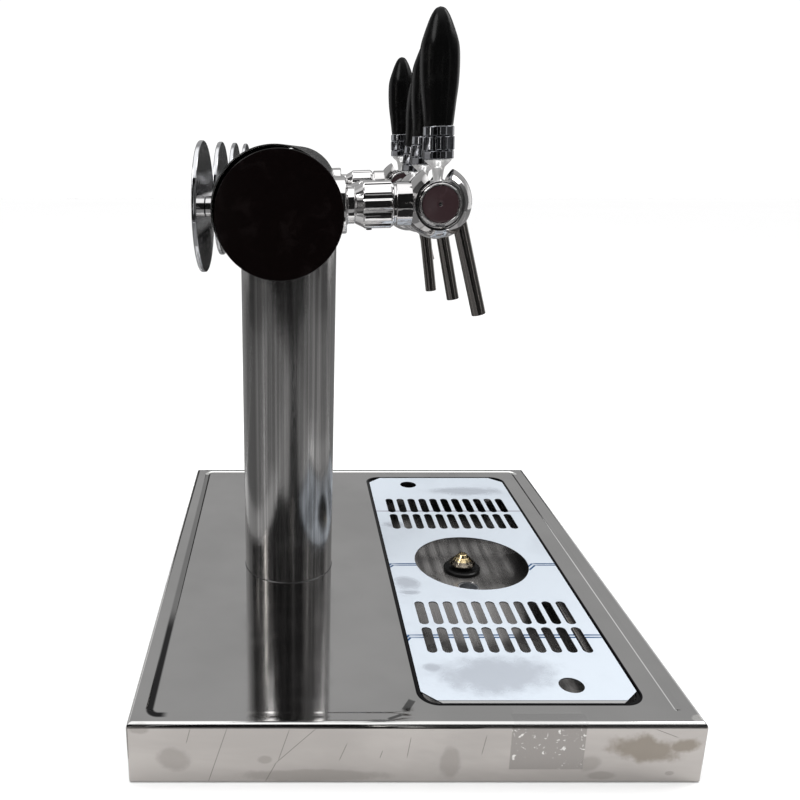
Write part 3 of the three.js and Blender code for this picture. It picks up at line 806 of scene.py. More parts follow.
@dataclass(frozen=True)
class DeckSteel(Steel):
    """The deck's polished steel, with the scratches, smudges and tape marks of a shop floor on its front, and
    painted light and shade on its front face, groove, cut-out gap and foot.
    """

    front: float = -300
    top: float = 60
    bend_start: float = 59
    # painted light: the darker, warmer steel tone of the front face stands for the warm light it catches
    front_painted_light: Triple = (0.385, 0.363, 0.346)
    gap: tuple[Pair, Pair, float] = ((107.1, -4), (100.6, 269.4), 18)
    groove: tuple[Pair, Pair, float] = ((0, 0), (232.1, 287), 8.5)
    smudges: Rows = (
        (-239, 55, 9, 4.5, 0), (-210.7, 24.6, 14, 10.5, 14), (-91, 7.5, 66, 6, 0), (30, 21, 8.6, 16, 0),
        (151, 20, 10, 7.5, -25), (162, 7.5, 12, 4, 0), (221.7, 10, 4.3, 2.5, 0), (-131, 24, 6, 4, 0))
    clouds: Rows = ((196, 35, 32, 12, 6), (232, 38, 15, 7, -12))
    scratches: Rows = (
        (-163, 55.9, -180.2, 1.5), (-86.6, 55.9, -120.9, 21), (-120.9, 21, -130.4, 1.5),
        (-109.8, 53.8, -119.2, 23.1), (-194.8, 54.9, -198.2, 41.5), (-60, 40, -66, 24), (60, 48, 57, 30),
        (-5, 46, -7.5, 27), (-29, 33, -31, 26), (205, 55, 224, 47))
    tape: Rows = (
        (113.5, -302, 37, 32, 3, 23, 0.66), (115.5, -292.6, 60, 32, 7, 2, 0.84),
        (115.5, -276, 60, 30, 9.5, 2, 0.92))
    stains: Rows = ((-8, -281, 0, -267, 3.2, 0.3), (-24, -293, -12, -287, 1.6, 0.4))
    tones: tuple[tuple[Triple, float], ...] = (
        ((0.24, 0.225, 0.21), 0.6), ((0.19, 0.165, 0.135), 0.8), ((0.12, 0.11, 0.105), 0.7))
    flake: Triple = (0.6, 0.59, 0.57)
    # painted shade: near-black colour for the left groove
    painted_groove_shade: Triple = (0.012, 0.012, 0.013)
    # painted highlight: near-white colour for the groove's back stretch
    painted_groove_highlight: Triple = (0.95, 0.95, 0.93)
    # painted shade: near-black colour for the gap round the tray's cut-out
    gap_painted_shade: Triple = (0.008, 0.008, 0.009)
    # painted shade: darker colour for the lowest edge, where the deck meets the counter
    foot_painted_shade: Triple = (0.12, 0.115, 0.11)
    stain_dark: Triple = (0.07, 0.07, 0.07)
    dried: Triple = (0.75, 0.74, 0.72)
    dried_place: Pair = (245, -292)
    top_band: Pair = (58, 58.6)
    cloud: float = 70
    smudge_edge: Pair = (0.5, 0.22)
    haze_edge: Pair = (0.7, 0.35)
    flake_size: float = 5.5
    painted_groove_shade_line: Pair = (2.0, 2.2)
    painted_groove_shade_side: Pair = (-214, -222)
    painted_groove_shade_run: tuple[float, ...] = (-105, -150, 0.42, 0.97)
    painted_groove_highlight_line: Pair = (3.4, 0.8)
    painted_groove_highlight_end: Pair = (277, 280)
    gap_painted_shade_line: Pair = (1.1, 0.3)
    gap_painted_shade_band: Pair = (55, 56)
    foot_painted_shade_band: Pair = (1.3, 0.5)
    line_half: float = 0.32
    mark_roughness: float = 0.12

    def ovals(self, g: Graph, spots: Sequence[Sequence[float]], soft: float, ragged: float) -> Socket:
        """Draws ragged ovals on the front.

        Args:
            g: the finish in the making.
            spots: (x, z, half width, half height, turn) of each.
            soft: share of its size over which each fades.
            ragged: how far its edge wanders.

        Returns:
            One inside them.
        """
        return g.marks([g.spot((x, self.front, z), (wide, 6, high), (0, turn, 0), soft, ragged=ragged)
                        for x, z, wide, high, turn in spots])

    def make(self) -> Material:
        """Makes the finish with all its marks and its painted light and shade.

        Returns:
            The material.
        """
        g, colour, roughness, normal = self.graph()
        along_x, along_y, up = g.axes()
        top = g.between(up, *self.top_band)
        # painted light: the front face takes the darker, warmer tone of the light it catches, clouded a little
        front = g.between(along_y, self.front + 0.9, self.front + 0.1)
        clouds = g.between(g.noise(self.cloud, 4, 0.6, (3, 1, 1), warp=0.5), 0.35, 0.65)
        colour = g.mix(front, colour, g.mix(clouds, self.front_painted_light, shade(self.front_painted_light, 0.86)))
        smudges = self.ovals(g, self.smudges, *self.smudge_edge)
        haze = self.ovals(g, self.clouds, *self.haze_edge)
        lines = g.marks([g.stroke((x, self.front, z), (u, self.front, w), self.line_half)
                         for x, z, u, w in self.scratches])
        for mark, (tint, share) in zip((smudges, haze, lines), self.tones):
            colour = g.paint(colour, mark, tint, share)
        flakes = g.between(g.noise(self.flake_size, 4, 0.62, warp=0.9), 0.63, 0.65)
        for x, y, z, *half, share in self.tape:
            patch = g.spot((x, y, z), half, soft=0.03, square=True)
            on_front = z < self.bend_start
            tint = g.mix(flakes, shade(self.front_painted_light, share), self.flake) if on_front else shade(self.colour, share)
            colour = g.mix(patch, colour, tint)
            roughness = g.sum("MULTIPLY_ADD", patch, self.mark_roughness, roughness)
        # painted shade: the left groove turns near black, lightly along its back part and strongly towards the
        # front, on the top only
        painted_groove_shade = g.sum("MULTIPLY", g.frame(*self.groove, *self.painted_groove_shade_line), g.between(along_x, *self.painted_groove_shade_side))
        painted_groove_shade = g.sum("MULTIPLY", g.sum("MULTIPLY", painted_groove_shade, g.between(along_y, *self.painted_groove_shade_run)), top)
        colour = g.mix(painted_groove_shade, colour, self.painted_groove_shade)
        # painted highlight: the groove turns near white along its back stretch, on the top only
        polished = g.sum("MULTIPLY", g.frame(*self.groove, *self.painted_groove_highlight_line),
                         g.between(along_y, *self.painted_groove_highlight_end))
        colour = g.mix(g.sum("MULTIPLY", polished, top), colour, self.painted_groove_highlight)
        # painted shade: a near-black line on the deck's cut wall round the cut-out, where the gap to the grille
        # is in shade
        line = g.sum("MULTIPLY", g.frame(*self.gap, *self.gap_painted_shade_line), g.between(up, *self.gap_painted_shade_band))
        colour = g.mix(line, colour, self.gap_painted_shade)
        # painted shade: the lowest edge, where the deck meets the counter, is darker
        colour = g.mix(g.between(up, *self.foot_painted_shade_band), colour, self.foot_painted_shade)
        stain = g.marks([g.stroke((x, y, self.top), (u, v, self.top), half, soft)
                         for x, y, u, v, half, soft in self.stains])
        colour = g.paint(colour, stain, self.stain_dark, 0.8)
        pale = g.spot((*self.dried_place, self.top), (7, 5, 2), (0, 0, 35), 0.4, ragged=0.2)
        colour = g.paint(colour, pale, self.dried, 0.7)
        roughness = g.sum("MULTIPLY_ADD", g.marks([smudges, haze, pale]), self.mark_roughness, roughness)
        return g.finish(Base_Color=colour, Metallic=1.0, Roughness=roughness, Normal=normal)


@dataclass(frozen=True)
class Chrome:
    """Chrome plate: bright, a little wavy, with finger marks and fine dust."""

    name: str
    colour: Triple = (0.62, 0.61, 0.61)
    roughness: float = 0.035
    wave: float = 0.12
    dull: float = 0.1
    metal: float = 1.0
    print_size: float = 9
    dust_size: float = 0.35
    dust: Triple = (0.25, 0.24, 0.23)
    wave_size: float = 14

    def make(self) -> Material:
        """Makes the finish.

        Returns:
            The material.
        """
        g = Graph(self.name)
        prints = g.between(g.noise(self.print_size, 4, 0.65, warp=0.8), 0.5, 0.72)
        dust = g.between(g.noise(self.dust_size, 1, 0.5), 0.68, 0.76)
        colour = g.paint(self.colour, dust, self.dust, 0.35)
        roughness = g.sum("ADD", g.sum("MULTIPLY", prints, self.dull), self.roughness)
        normal = g.bump(g.noise(self.wave_size, 2, 0.5), self.wave, g.bump(g.noise(0.6, 2), 0.003))
        return g.finish(Base_Color=colour, Metallic=self.metal, Roughness=roughness, Normal=normal)


@dataclass(frozen=True)
class Plastic:
    """Black plastic or rubber with a skin of its own."""

    name: str
    colour: Triple = (0.004, 0.0035, 0.0035)
    roughness: float = 0.18
    skin: float = 1.2
    skin_depth: float = 0.01
    scuff: float = 0.12
    shine: float = 0.14
    worn_size: float = 14
    wave_size: float = 20
    wave: float = 0.05

    def make(self) -> Material:
        """Makes the finish.

        Returns:
            The material.
        """
        g = Graph(self.name)
        worn = g.between(g.noise(self.worn_size, 4, 0.65, warp=0.5), 0.5, 0.75)
        colour = g.paint(self.colour, worn, tuple(c * 2.2 + 0.002 for c in self.colour), 0.5)
        roughness = g.sum("ADD", g.sum("MULTIPLY", worn, self.scuff), self.roughness)
        wave = g.bump(g.noise(self.wave_size, 1), self.wave)
        normal = g.bump(g.noise(self.skin, 3, 0.55), self.skin_depth, wave)
        return g.finish(Base_Color=colour, Roughness=roughness, Normal=normal, Specular_IOR_Level=self.shine)


@dataclass(frozen=True)
class Zinc:
    """Zinc-plated steel, dull and blotchy."""

    name: str = "zinc_plate"
    light: Triple = (0.5, 0.51, 0.53)
    dark: Triple = (0.36, 0.37, 0.4)
    spangle: float = 3.5

    def make(self) -> Material:
        """Makes the finish.

        Returns:
            The material.
        """
        g = Graph(self.name)
        spangle = g.noise(self.spangle, 3, 0.6, warp=1.2)
        colour = g.mix(g.between(spangle, 0.35, 0.7), self.light, self.dark)
        normal = g.bump(g.noise(0.8, 3), 0.02)
        return g.finish(Base_Color=colour, Metallic=1.0, Roughness=g.between(spangle, 0.3, 0.7, 0.28, 0.5),
                        Normal=normal)


@dataclass(frozen=True)
class Brass:
    """Turned brass with fine tool marks, a little tarnish and a skirt that hard water has dulled."""

    name: str = "turned_brass"
    skirt: float = 40
    light: Triple = (0.92, 0.76, 0.45)
    dark: Triple = (0.55, 0.4, 0.2)
    limed: Triple = (0.24, 0.21, 0.17)

    def make(self) -> Material:
        """Makes the finish.

        Returns:
            The material.
        """
        g = Graph(self.name)
        tarnish = g.between(g.noise(4, 4, 0.6), 0.45, 0.7)
        colour = g.mix(tarnish, self.light, self.dark)
        *_, up = g.axes()
        colour = g.mix(g.between(up, self.skirt + 0.6, self.skirt - 0.6), colour, self.limed)
        rings = g.noise(0.25, 1, 0.5, (40, 40, 1))
        return g.finish(Base_Color=colour, Metallic=1.0, Roughness=g.between(tarnish, 0, 1, 0.14, 0.34),
                        Normal=g.bump(rings, 0.02))


@dataclass(frozen=True)
class Hose:
    """Clear beer line, milky and a little scuffed."""

    name: str = "clear_hose"
    clear: Triple = (0.82, 0.83, 0.8)
    milky: Triple = (0.9, 0.9, 0.87)

    def make(self) -> Material:
        """Makes the finish.

        Returns:
            The material.
        """
        g = Graph(self.name)
        milk = g.noise(6, 3, 0.6)
        colour = g.mix(milk, self.clear, self.milky)
        return g.finish(Base_Color=colour, Roughness=g.between(milk, 0.3, 0.7, 0.18, 0.35), IOR=1.42,
                        Transmission_Weight=0.75, Normal=g.bump(g.noise(1.5, 3), 0.03))


@dataclass(frozen=True)
class Film:
    """Pale blue protective film, still on its steel plate, with trapped air, its double joint lines and painted
    shade on the plate's side faces and hole walls.
    """

    name: str = "film_on_steel"
    plane: float = 60
    ends: Pair = (0, 215)
    joints: Rows = (
        (12, -8.7, 100, -8.7), (14, -12.5, 100, -12.5), (12, -8.7, 7, -14), (14, -12.5, 9, -18),
        (179, -8.7, 215, -8.7), (181.5, -12.5, 215, -12.5), (179, -8.7, 169, -20), (181.5, -12.5, 171.5, -24.5),
        (12, -161.8, 215, -161.8), (13, -166.2, 215, -166.2), (12, -161.8, 7, -168), (13, -166.2, 8, -173))
    faint: float = 142.7
    bare: float = -267.4
    clouds: Rows = (
        (85, -228, 52, 27, 8), (24, -55, 13, 13, 0), (25, -76, 9, 4, 0), (26, -218, 8, 6, 0),
        (146, 212, 46, 13, 0), (30, 100, 14, 8, 0))
    colour: Triple = (0.63, 0.69, 0.76)
    veiled: Triple = (0.5, 0.545, 0.61)
    airy: Triple = (0.37, 0.4, 0.45)
    blue: Triple = (0.006, 0.06, 0.17)
    violet: Triple = (0.24, 0.22, 0.28)
    steel: Triple = (0.36, 0.36, 0.36)
    seam: Triple = (0.06, 0.06, 0.065)
    # painted shade: near-black colour for the plate's side faces and hole walls
    edge: Triple = (0.05, 0.05, 0.055)
    line_half: float = 1.15
    faint_half: float = 1.6

    def make(self) -> Material:
        """Makes the finish.

        Returns:
            The material.
        """
        g = Graph(self.name)
        air = g.marks([g.spot((x, y, self.plane), (hx, hy, 3), (0, 0, turn), 0.9, ragged=0.3)
                       for x, y, hx, hy, turn in self.clouds])
        veil = g.between(g.noise(60, 3, 0.5, warp=0.4), 0.5, 0.8)
        colour = g.paint(g.paint(self.colour, veil, self.veiled, 0.4), air, self.airy, 0.8)
        lines = [g.stroke((x, y, self.plane), (u, v, self.plane), self.line_half, 0.6)
                 for x, y, u, v in self.joints]
        colour = g.mix(g.marks(lines), colour, self.blue)
        pale = g.stroke(*((x, self.faint, self.plane) for x in self.ends), self.faint_half, 0.8)
        colour = g.paint(colour, pale, self.violet, 0.85)
        _, along, up = g.axes()
        colour = g.mix(g.between(along, self.bare + 0.3, self.bare - 0.3), colour, self.steel)
        seam = g.between(g.sum("ABSOLUTE", g.sum("SUBTRACT", along, self.bare)), 0.6, 0.3)
        colour = g.paint(colour, seam, self.seam, 0.7)
        # painted shade: the plate's side faces and hole walls below the film are near black
        colour = g.mix(g.between(up, self.plane - 0.1, self.plane - 0.3), colour, self.edge)
        roughness = g.sum("MULTIPLY_ADD", air, 0.12, 0.2)
        normal = g.bump(g.noise(40, 2, 0.45, warp=0.5), 0.12, g.bump(g.noise(1.5, 2), 0.002))
        return g.finish(Base_Color=colour, Metallic=0.12, Roughness=roughness, Normal=normal)


@dataclass(frozen=True)
class Plain:
    """Plain matt paint for the studio's cards, lit from within where it stands for a lamp."""

    name: str
    colour: Triple
    glow: float = 0

    def make(self) -> Material:
        """Makes the paint.

        Returns:
            The material.
        """
        g = Graph(self.name)
        return g.finish(Base_Color=self.colour, Roughness=0.9, Specular_IOR_Level=0.0,
                        Emission_Color=(1, 0.97, 0.92), Emission_Strength=self.glow)


def dress(piece: Object, material: Material, slot: str, body: str, *nodes: str) -> None:
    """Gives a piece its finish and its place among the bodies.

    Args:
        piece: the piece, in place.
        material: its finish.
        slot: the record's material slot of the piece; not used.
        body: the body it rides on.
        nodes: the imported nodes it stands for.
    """
    piece.data.materials.clear()
    piece.data.materials.append(material)
    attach(piece, body)
    if nodes:
        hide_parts(*nodes)
    LOG.info("%s stands for %s and rides on %s", piece.name, ", ".join(nodes) or "no node", body)


def redress(node: str, material: Material) -> None:
    """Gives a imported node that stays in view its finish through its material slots.

    Args:
        node: the node's name.
        material: its finish.
    """
    for material_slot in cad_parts[node].material_slots:
        material_slot.material = material
    LOG.info("%s keeps its packed shape", node)


# ---------------------------------------------------------------- studio


@dataclass
class Card:
    """One board that the bright metal mirrors, out of the camera's sight."""

    name: str
    middle: Triple
    half: Pair
    turn: Triple
    grey: float
    glow: float = 0

    def build(self) -> None:
        """Stands the board in its place."""
        corner = min(30, *self.half) * 0.9
        board = Shape(self.name).plate(rounded_rectangle(*self.half, corner, steps=3), (), -2, 2, 0.5).made()
        board.data.materials.append(Plain(self.name + "_paint", (self.grey,) * 3, self.glow).make())
        board.matrix_world = Matrix.Translation(Vector(self.middle) * MM) @ Matrix.Rotation(
            math.radians(self.turn[2]), 4, "Z") @ Matrix.Rotation(math.radians(self.turn[0]), 4, "X")
        board.visible_camera = False
        board.visible_shadow = False
        board.visible_diffuse = False


@dataclass
class Studio:
    """Camera, pale floor, soft light and the boards round the dispenser."""

    camera_place: Triple = (-110.7, -909.0, 530.5)
    camera_pitch: float = 16.57
    lens: float = 37.8
    sensor: float = 36
    nearest: float = 20
    shift: float = 0.14
    floor_half: float = 9000
    floor_corner: float = 500
    floor_height: float = -0.2
    floor_cloud: float = 600
    floor_tones: Pair = (0.96, 0.94)
    lamps: tuple[tuple[str, Triple, Pair, float], ...] = (
        ("key_lamp", (-1500, -900, 2100), (1.0, 1.0), 24), ("fill_lamp", (1600, 300, 1900), (0.8, 1.2), 18))
    lamps_aim: Triple = (0, 0, 250)
    elevations: tuple[Pair, ...] = (
        (-90, 1.05), (10, 1.05), (16, 0.6), (20, 0.49), (30, 0.52), (40, 0.53), (48, 0.5), (60, 1.9), (90, 2.0))
    cards: tuple[Card, ...] = (
        Card("board_behind_left", (-1120, -1700, 1300), (620, 1300), (90, 0, 0), 0.008),
        Card("board_behind_middle", (-150, -1700, 1300), (320, 1300), (90, 0, 0), 0.012),
        Card("board_behind_right", (880, -1700, 1300), (670, 1300), (90, 0, 0), 0.05),
        Card("board_left", (-1750, -500, 1300), (1150, 1300), (90, 0, 90), 0.09),
        Card("board_right", (1750, -500, 1300), (1150, 1300), (90, 0, 90), 0.13),
        Card("mat_far", (0, -2650, 3), (2300, 1250), (0, 0, 0), 0.09),
        Card("mat_near", (60, -900, 3), (420, 480), (0, 0, 0), 0.3),
        Card("mat_middle_near", (88, -883, 6), (95, 480), (0, 0, 12.7), 0.02),
        Card("mat_middle_far", (328, -1946, 6), (270, 610), (0, 0, 12.7), 0.02),
        Card("mat_left", (-1055, -500, 3), (695, 850), (0, 0, 0), 0.2),
        Card("mat_beside_left", (-362, -35, 6), (88, 385), (0, 0, 0), 0.5),
        Card("mat_right", (1115, -500, 3), (635, 850), (0, 0, 0), 0.22),
        Card("mat_beside_right", (404, 25, 6), (146, 325), (0, 0, 0), 0.4),
        Card("mat_back", (-100, 3200, 3), (2500, 2830), (0, 0, 0), 0.22),
        Card("board_back", (0, 6000, 1050), (3500, 1050), (90, 0, 0), 0.07),
        Card("mat_line_left", (-1268, -595, 9), (20, 900), (0, 0, -63), 0.7),
        Card("strip_left", (-1446, -686, 800), (34, 400), (90, 0, -63), 0.5, 8),
        Card("strip_middle", (99, -1490, 640), (10, 110), (90, 0, 8), 0.5, 3),
        Card("strip_right", (1039, -969, 800), (14, 400), (90, 0, 50), 0.5, 1.2),
        Card("spark_left", (-1610, 0, 930), (18, 60), (90, 0, -90), 0.5, 6),
    )

    def camera(self) -> None:
        """Stands the camera where the photograph was taken."""
        lens = bpy.data.cameras.new("camera")
        lens.sensor_width = self.sensor
        lens.lens = self.lens
        lens.shift_x = self.shift
        lens.clip_start = self.nearest * MM
        stand = new_object("camera", lens)
        stand.location = Vector(self.camera_place) * MM
        stand.rotation_euler = (math.radians(90 - self.camera_pitch), 0, 0)
        bpy.context.scene.camera = stand

    def floor(self) -> None:
        """Lays the plain pale floor."""
        shape = Shape("floor")
        half = self.floor_half
        outline = rounded_rectangle(half, half, self.floor_corner, steps=4)
        shape.bm.faces.new(shape.loop(outline, self.floor_height))
        ground = shape.made(weighted=False)
        g = Graph("pale_floor")
        tint = g.mix(g.noise(self.floor_cloud, 3), *((tone,) * 3 for tone in self.floor_tones))
        ground.data.materials.append(g.finish(Base_Color=tint, Roughness=0.85, Specular_IOR_Level=0.0))

    def sky(self) -> None:
        """Lights the room: white all round, grey higher up, and a bright ceiling."""
        world = bpy.data.worlds.new("soft_room")
        world.use_nodes = True
        tree = world.node_tree
        tree.nodes.clear()
        split = tree.nodes.new("ShaderNodeSeparateXYZ")
        tree.links.new(tree.nodes.new("ShaderNodeTexCoord").outputs["Generated"], split.inputs[0])
        height = tree.nodes.new("ShaderNodeMapRange")
        height.inputs["From Min"].default_value = -1
        tree.links.new(split.outputs["Z"], height.inputs["Value"])
        ramp = tree.nodes.new("ShaderNodeValToRGB")
        stops = ramp.color_ramp.elements
        while len(stops) < len(self.elevations):
            stops.new(0.5)
        brightest = max(level for _, level in self.elevations)
        for stop, (degrees, level) in zip(stops, self.elevations):
            stop.position = (math.sin(math.radians(degrees)) + 1) / 2
            stop.color = (*(level / brightest,) * 3, 1)
        tree.links.new(height.outputs[0], ramp.inputs[0])
        light = tree.nodes.new("ShaderNodeBackground")
        light.inputs["Strength"].default_value = brightest
        tree.links.new(ramp.outputs[0], light.inputs[0])
        out = tree.nodes.new("ShaderNodeOutputWorld")
        tree.links.new(light.outputs[0], out.inputs[0])
        bpy.context.scene.world = world

    def lamp(self, name: str, place: Triple, size: Pair, watts: float) -> None:
        """Hangs one soft lamp that looks at the dispenser.

        Args:
            name: its name.
            place: where it hangs, in millimetres.
            size: its width and height in metres.
            watts: its power.
        """
        light = bpy.data.lights.new(name, "AREA")
        light.shape = "RECTANGLE"
        light.size, light.size_y = size
        light.energy = watts
        stand = new_object(name, light)
        stand.location = Vector(place) * MM
        aim = Vector(self.lamps_aim) - Vector(place)
        stand.rotation_euler = aim.to_track_quat("-Z", "Y").to_euler()

    def build(self) -> None:
        """Sets the whole studio up."""
        self.camera()
        self.floor()
        self.sky()
        for lamp in self.lamps:
            self.lamp(*lamp)
        for card in self.cards:
            card.build()
        bpy.context.scene.view_settings.view_transform = "Standard"
        LOG.info("studio stands")


# ---------------------------------------------------------------- deck


@dataclass
class Deck:
    """The folded stainless deck with its pressed groove, the tray's cut-out and the column's hole."""

    half: Pair = (250, 300)
    height: float = 60
    sheet: float = 1.5
    lip: float = 15
    bend: float = 5
    foot_bend: float = 1.5
    corner: float = 1.9
    groove_inset: Pair = (14.4, 9.5)
    groove_width: float = 7
    groove_depth: float = 0.9
    groove_corner: float = 12
    groove_rows: int = 15
    groove_fade: float = 0.12
    groove_slope: float = 0.4
    flat_front: float = 20
    front_share: float = 0.12
    lip_corner: float = 0.6
    lip_edge: float = 0.25
    tight: float = 0.4
    fold: float = 0.3
    bend_steps: int = 6
    cut_out: tuple[float, float, float, float, float] = (100, 269, 18, 107.5, -4)
    column_hole: Triple = (44.3, -110, -5)

    def row(self, shape: Shape, inset: float, radius: float, z: float, more: Pair = (0, 0)) -> list:
        """Adds one closed row of the deck, set in from its sides, and returns it."""
        half = (side - (inset + by) for side, by in zip(self.half, more))
        return shape.loop(rounded_rectangle(*half, radius), z)

    def groove(self, share: float) -> float:
        """How deep the groove is at a share of its width."""
        rise, fall = share + self.groove_fade, 1 + self.groove_fade - share
        return self.groove_depth * ease(rise / self.groove_slope) * ease(fall / self.groove_slope)

    def build(self) -> Object:
        """Makes the deck.

        Returns:
            The deck's piece.
        """
        shape = Shape("deck_sheet")
        bend, foot, sheet, top = self.bend, self.foot_bend, self.sheet, self.height
        corner, tight, fold, under = self.lip_corner, self.tight, self.fold, top - sheet
        outside = [self.row(shape, self.lip - by, corner, self.lip_edge - by) for by in (0, self.lip_edge)]
        for angle in quarter_turn(self.bend_steps):
            inset = foot - foot * math.sin(angle)
            outside.append(self.row(shape, inset, self.corner - inset, foot - foot * math.cos(angle)))
        for angle in quarter_turn(self.bend_steps):
            inset = bend - bend * math.cos(angle)
            radius = max(tight, self.corner - inset)
            outside.append(self.row(shape, inset, radius, top - bend + bend * math.sin(angle)))
        inside = [self.row(shape, *sizes) for sizes in (
            (self.lip, corner, sheet), (sheet + fold, tight, sheet), (sheet, corner, sheet + fold),
            (sheet, corner, under - fold), (sheet + fold, tight, under))]
        for step in range(self.groove_rows):
            share = (1 + 2 * self.groove_fade) * step / (self.groove_rows - 1) - self.groove_fade
            inset, deep = self.groove_width * share, self.groove(share)
            for rows, level in ((outside, top), (inside, under)):
                row = self.row(shape, inset, self.groove_corner - inset, level - deep, self.groove_inset)
                for vertex in row:
                    if vertex.co.y < self.flat_front - self.half[1]:
                        vertex.co.z = level - (level - vertex.co.z) * self.front_share
                rows.append(row)
        shape.skin(outside)
        shape.skin(inside)
        shape.bridge(outside[0], inside[0])
        levels = ((fold, top), (fold * 0.3, top - fold * 0.3), (0, top - fold), (0, under + fold),
                  (fold, under))
        walls = [shape.wall(edge, levels) for edge in (
            rounded_rectangle(*self.cut_out), circle(*self.column_hole))]
        for last, edges in zip((outside[-1], inside[-1]), zip(*walls)):
            shape.fill(last, *edges)
        return shape.made()

    def dress(self) -> None:
        """Builds the deck with its finish."""
        material = DeckSteel("polished_deck").make()
        dress(self.build(), material, "deck_steel", "dispenser", "deck")


@dataclass
class DripTray:
    """The welded tray below the grille, with its flange, drain hole and rinser hole."""

    middle: Pair = (107.5, -4)
    well: Triple = (96, 265, 14)
    flange: Triple = (105, 274, 23)
    top: float = 58.5
    floor: float = 25
    sheet: float = 1.5
    bend: float = 1.2
    foot: float = 4
    fold: float = 0.3
    under_fold: float = 0.8
    bend_steps: int = 5
    drain: Triple = (12.5, 107.5, 0)
    rinser_hole: Triple = (11.8, 107.5, 42)

    def row(self, shape: Shape, by: float, z: float) -> list:
        """Adds one closed row, set out from the well's wall, and returns it."""
        return shape.loop(rounded_rectangle(*(size + by for size in self.well), *self.middle), z)

    def build(self) -> Object:
        """Makes the tray.

        Returns:
            The tray's piece.
        """
        shape = Shape("drip_tray")
        edge = rounded_rectangle(*self.flange, *self.middle)
        bend, foot, sheet, fold = self.bend, self.foot, self.sheet, self.fold
        under, below, deep = self.top - sheet, self.floor - sheet, foot + sheet
        bent = quarter_turn(self.bend_steps)
        upper = [shape.loop(grown(edge, -fold), self.top), self.row(shape, bend, self.top)]
        upper += [self.row(shape, bend - bend * math.sin(a), self.top - bend + bend * math.cos(a))
                  for a in bent[1:]]
        upper += [self.row(shape, foot * (math.cos(a) - 1), self.floor + foot * (1 - math.sin(a)))
                  for a in bent]
        lower = [shape.loop(grown(edge, -fold), under), self.row(shape, sheet + self.under_fold, under),
                 self.row(shape, sheet, under - self.under_fold)]
        lower += [self.row(shape, deep * (math.cos(a) - 1) + sheet, below + deep * (1 - math.sin(a)))
                  for a in bent]
        walls = [(shape.skin(upper)[1], shape.skin(lower)[1])]
        shape.skin([upper[0], shape.loop(edge, self.top - fold), shape.loop(edge, under + fold), lower[0]])
        levels = ((0.8, 0), (0.3, -0.12), (0, -0.5), (0, 0.2 - sheet), (0.2, -sheet))
        for radius, *place in (self.drain, self.rinser_hole):
            rows = [shape.loop(circle(radius + by, *place), self.floor + z) for by, z in levels]
            walls.append(shape.skin(rows))
        for rows in zip(*walls):
            shape.fill(*rows)
        return shape.made()

    def dress(self) -> None:
        """Builds the tray with its finish, its walls and flange darkened by painted shade."""
        steel = Steel("tray_steel", (0.5, 0.485, 0.475), roughness=0.2, smudge=0.16, grain=(1, 60, 1),
                      grain_depth=0.02, streak=0.5, wave=0.25)
        g, colour, roughness, normal = steel.graph()
        *_, up = g.axes()
        # painted shade: the well's walls turn dark from a little above its floor upwards, under the grille
        colour = g.mix(g.between(up, self.floor + 3, self.floor + 12), colour, (0.05, 0.05, 0.052))
        # painted shade: the flange and the top of the walls, under the deck's edge and the grille, are near
        # black
        colour = g.mix(g.between(up, self.top - 2, self.top - 1.5), colour, (0.006, 0.006, 0.007))
        material = g.finish(Base_Color=colour, Metallic=0.85, Roughness=roughness, Normal=normal)
        dress(self.build(), material, "pan_steel", "dispenser", "drip_pan")


@dataclass
class Grille:
    """The drip grille: a plate with cut corners, four rows of slots, the rinser's hole and two finger holes."""

    middle: Pair = (107.5, -4)
    half: Pair = (98, 267)
    low: float = 58.5
    high: float = 60
    corner: float = 17
    corner_radius: float = 1.2
    edge: float = 0.25
    slot: Pair = (5, 23)
    pitch: float = 15.3
    slots: int = 11
    first_row: float = 91.5
    row_gap: float = 5.5
    rinser_radius: float = 66.5
    finger_radius: float = 11.5
    finger_places: tuple[Pair, ...] = ((149.5, -245), (65.5, 237))

    def holes(self) -> list[list[Pair]]:
        """Lists the outlines of all its holes.

        Returns:
            The rinser's hole, the finger holes, then the slots row by row.
        """
        x0, y0 = self.middle
        found = [circle(self.rinser_radius, x0, y0, 160)]
        found += [circle(self.finger_radius, *place, 64) for place in self.finger_places]
        radius, half = self.slot
        for side in (-1, 1):
            for row in (0, 1):
                y = y0 + side * (self.first_row + half + row * (2 * half + self.row_gap))
                for i in range(self.slots):
                    x = x0 + (i - (self.slots - 1) / 2) * self.pitch
                    found.append(rounded_rectangle(radius, half, radius - 0.01, x, y, 7))
        return found

    def build(self) -> Object:
        """Makes the grille.

        Returns:
            The grille's piece.
        """
        x0, y0 = self.middle
        hx, hy, c = *self.half, self.corner
        corners = [(hx, hy - c), (hx - c, hy), (c - hx, hy), (-hx, hy - c),
                   (-hx, c - hy), (c - hx, -hy), (hx - c, -hy), (hx, c - hy)]
        outline = rounded([(x + x0, y + y0, self.corner_radius) for x, y in corners], steps=4)
        return Shape("grille_plate").plate(outline, self.holes(), self.low, self.high, self.edge).made()

    def dress(self) -> None:
        """Builds the grille with its finish."""
        dress(self.build(), Film().make(), "grille_film", "grille", "drip_grille")


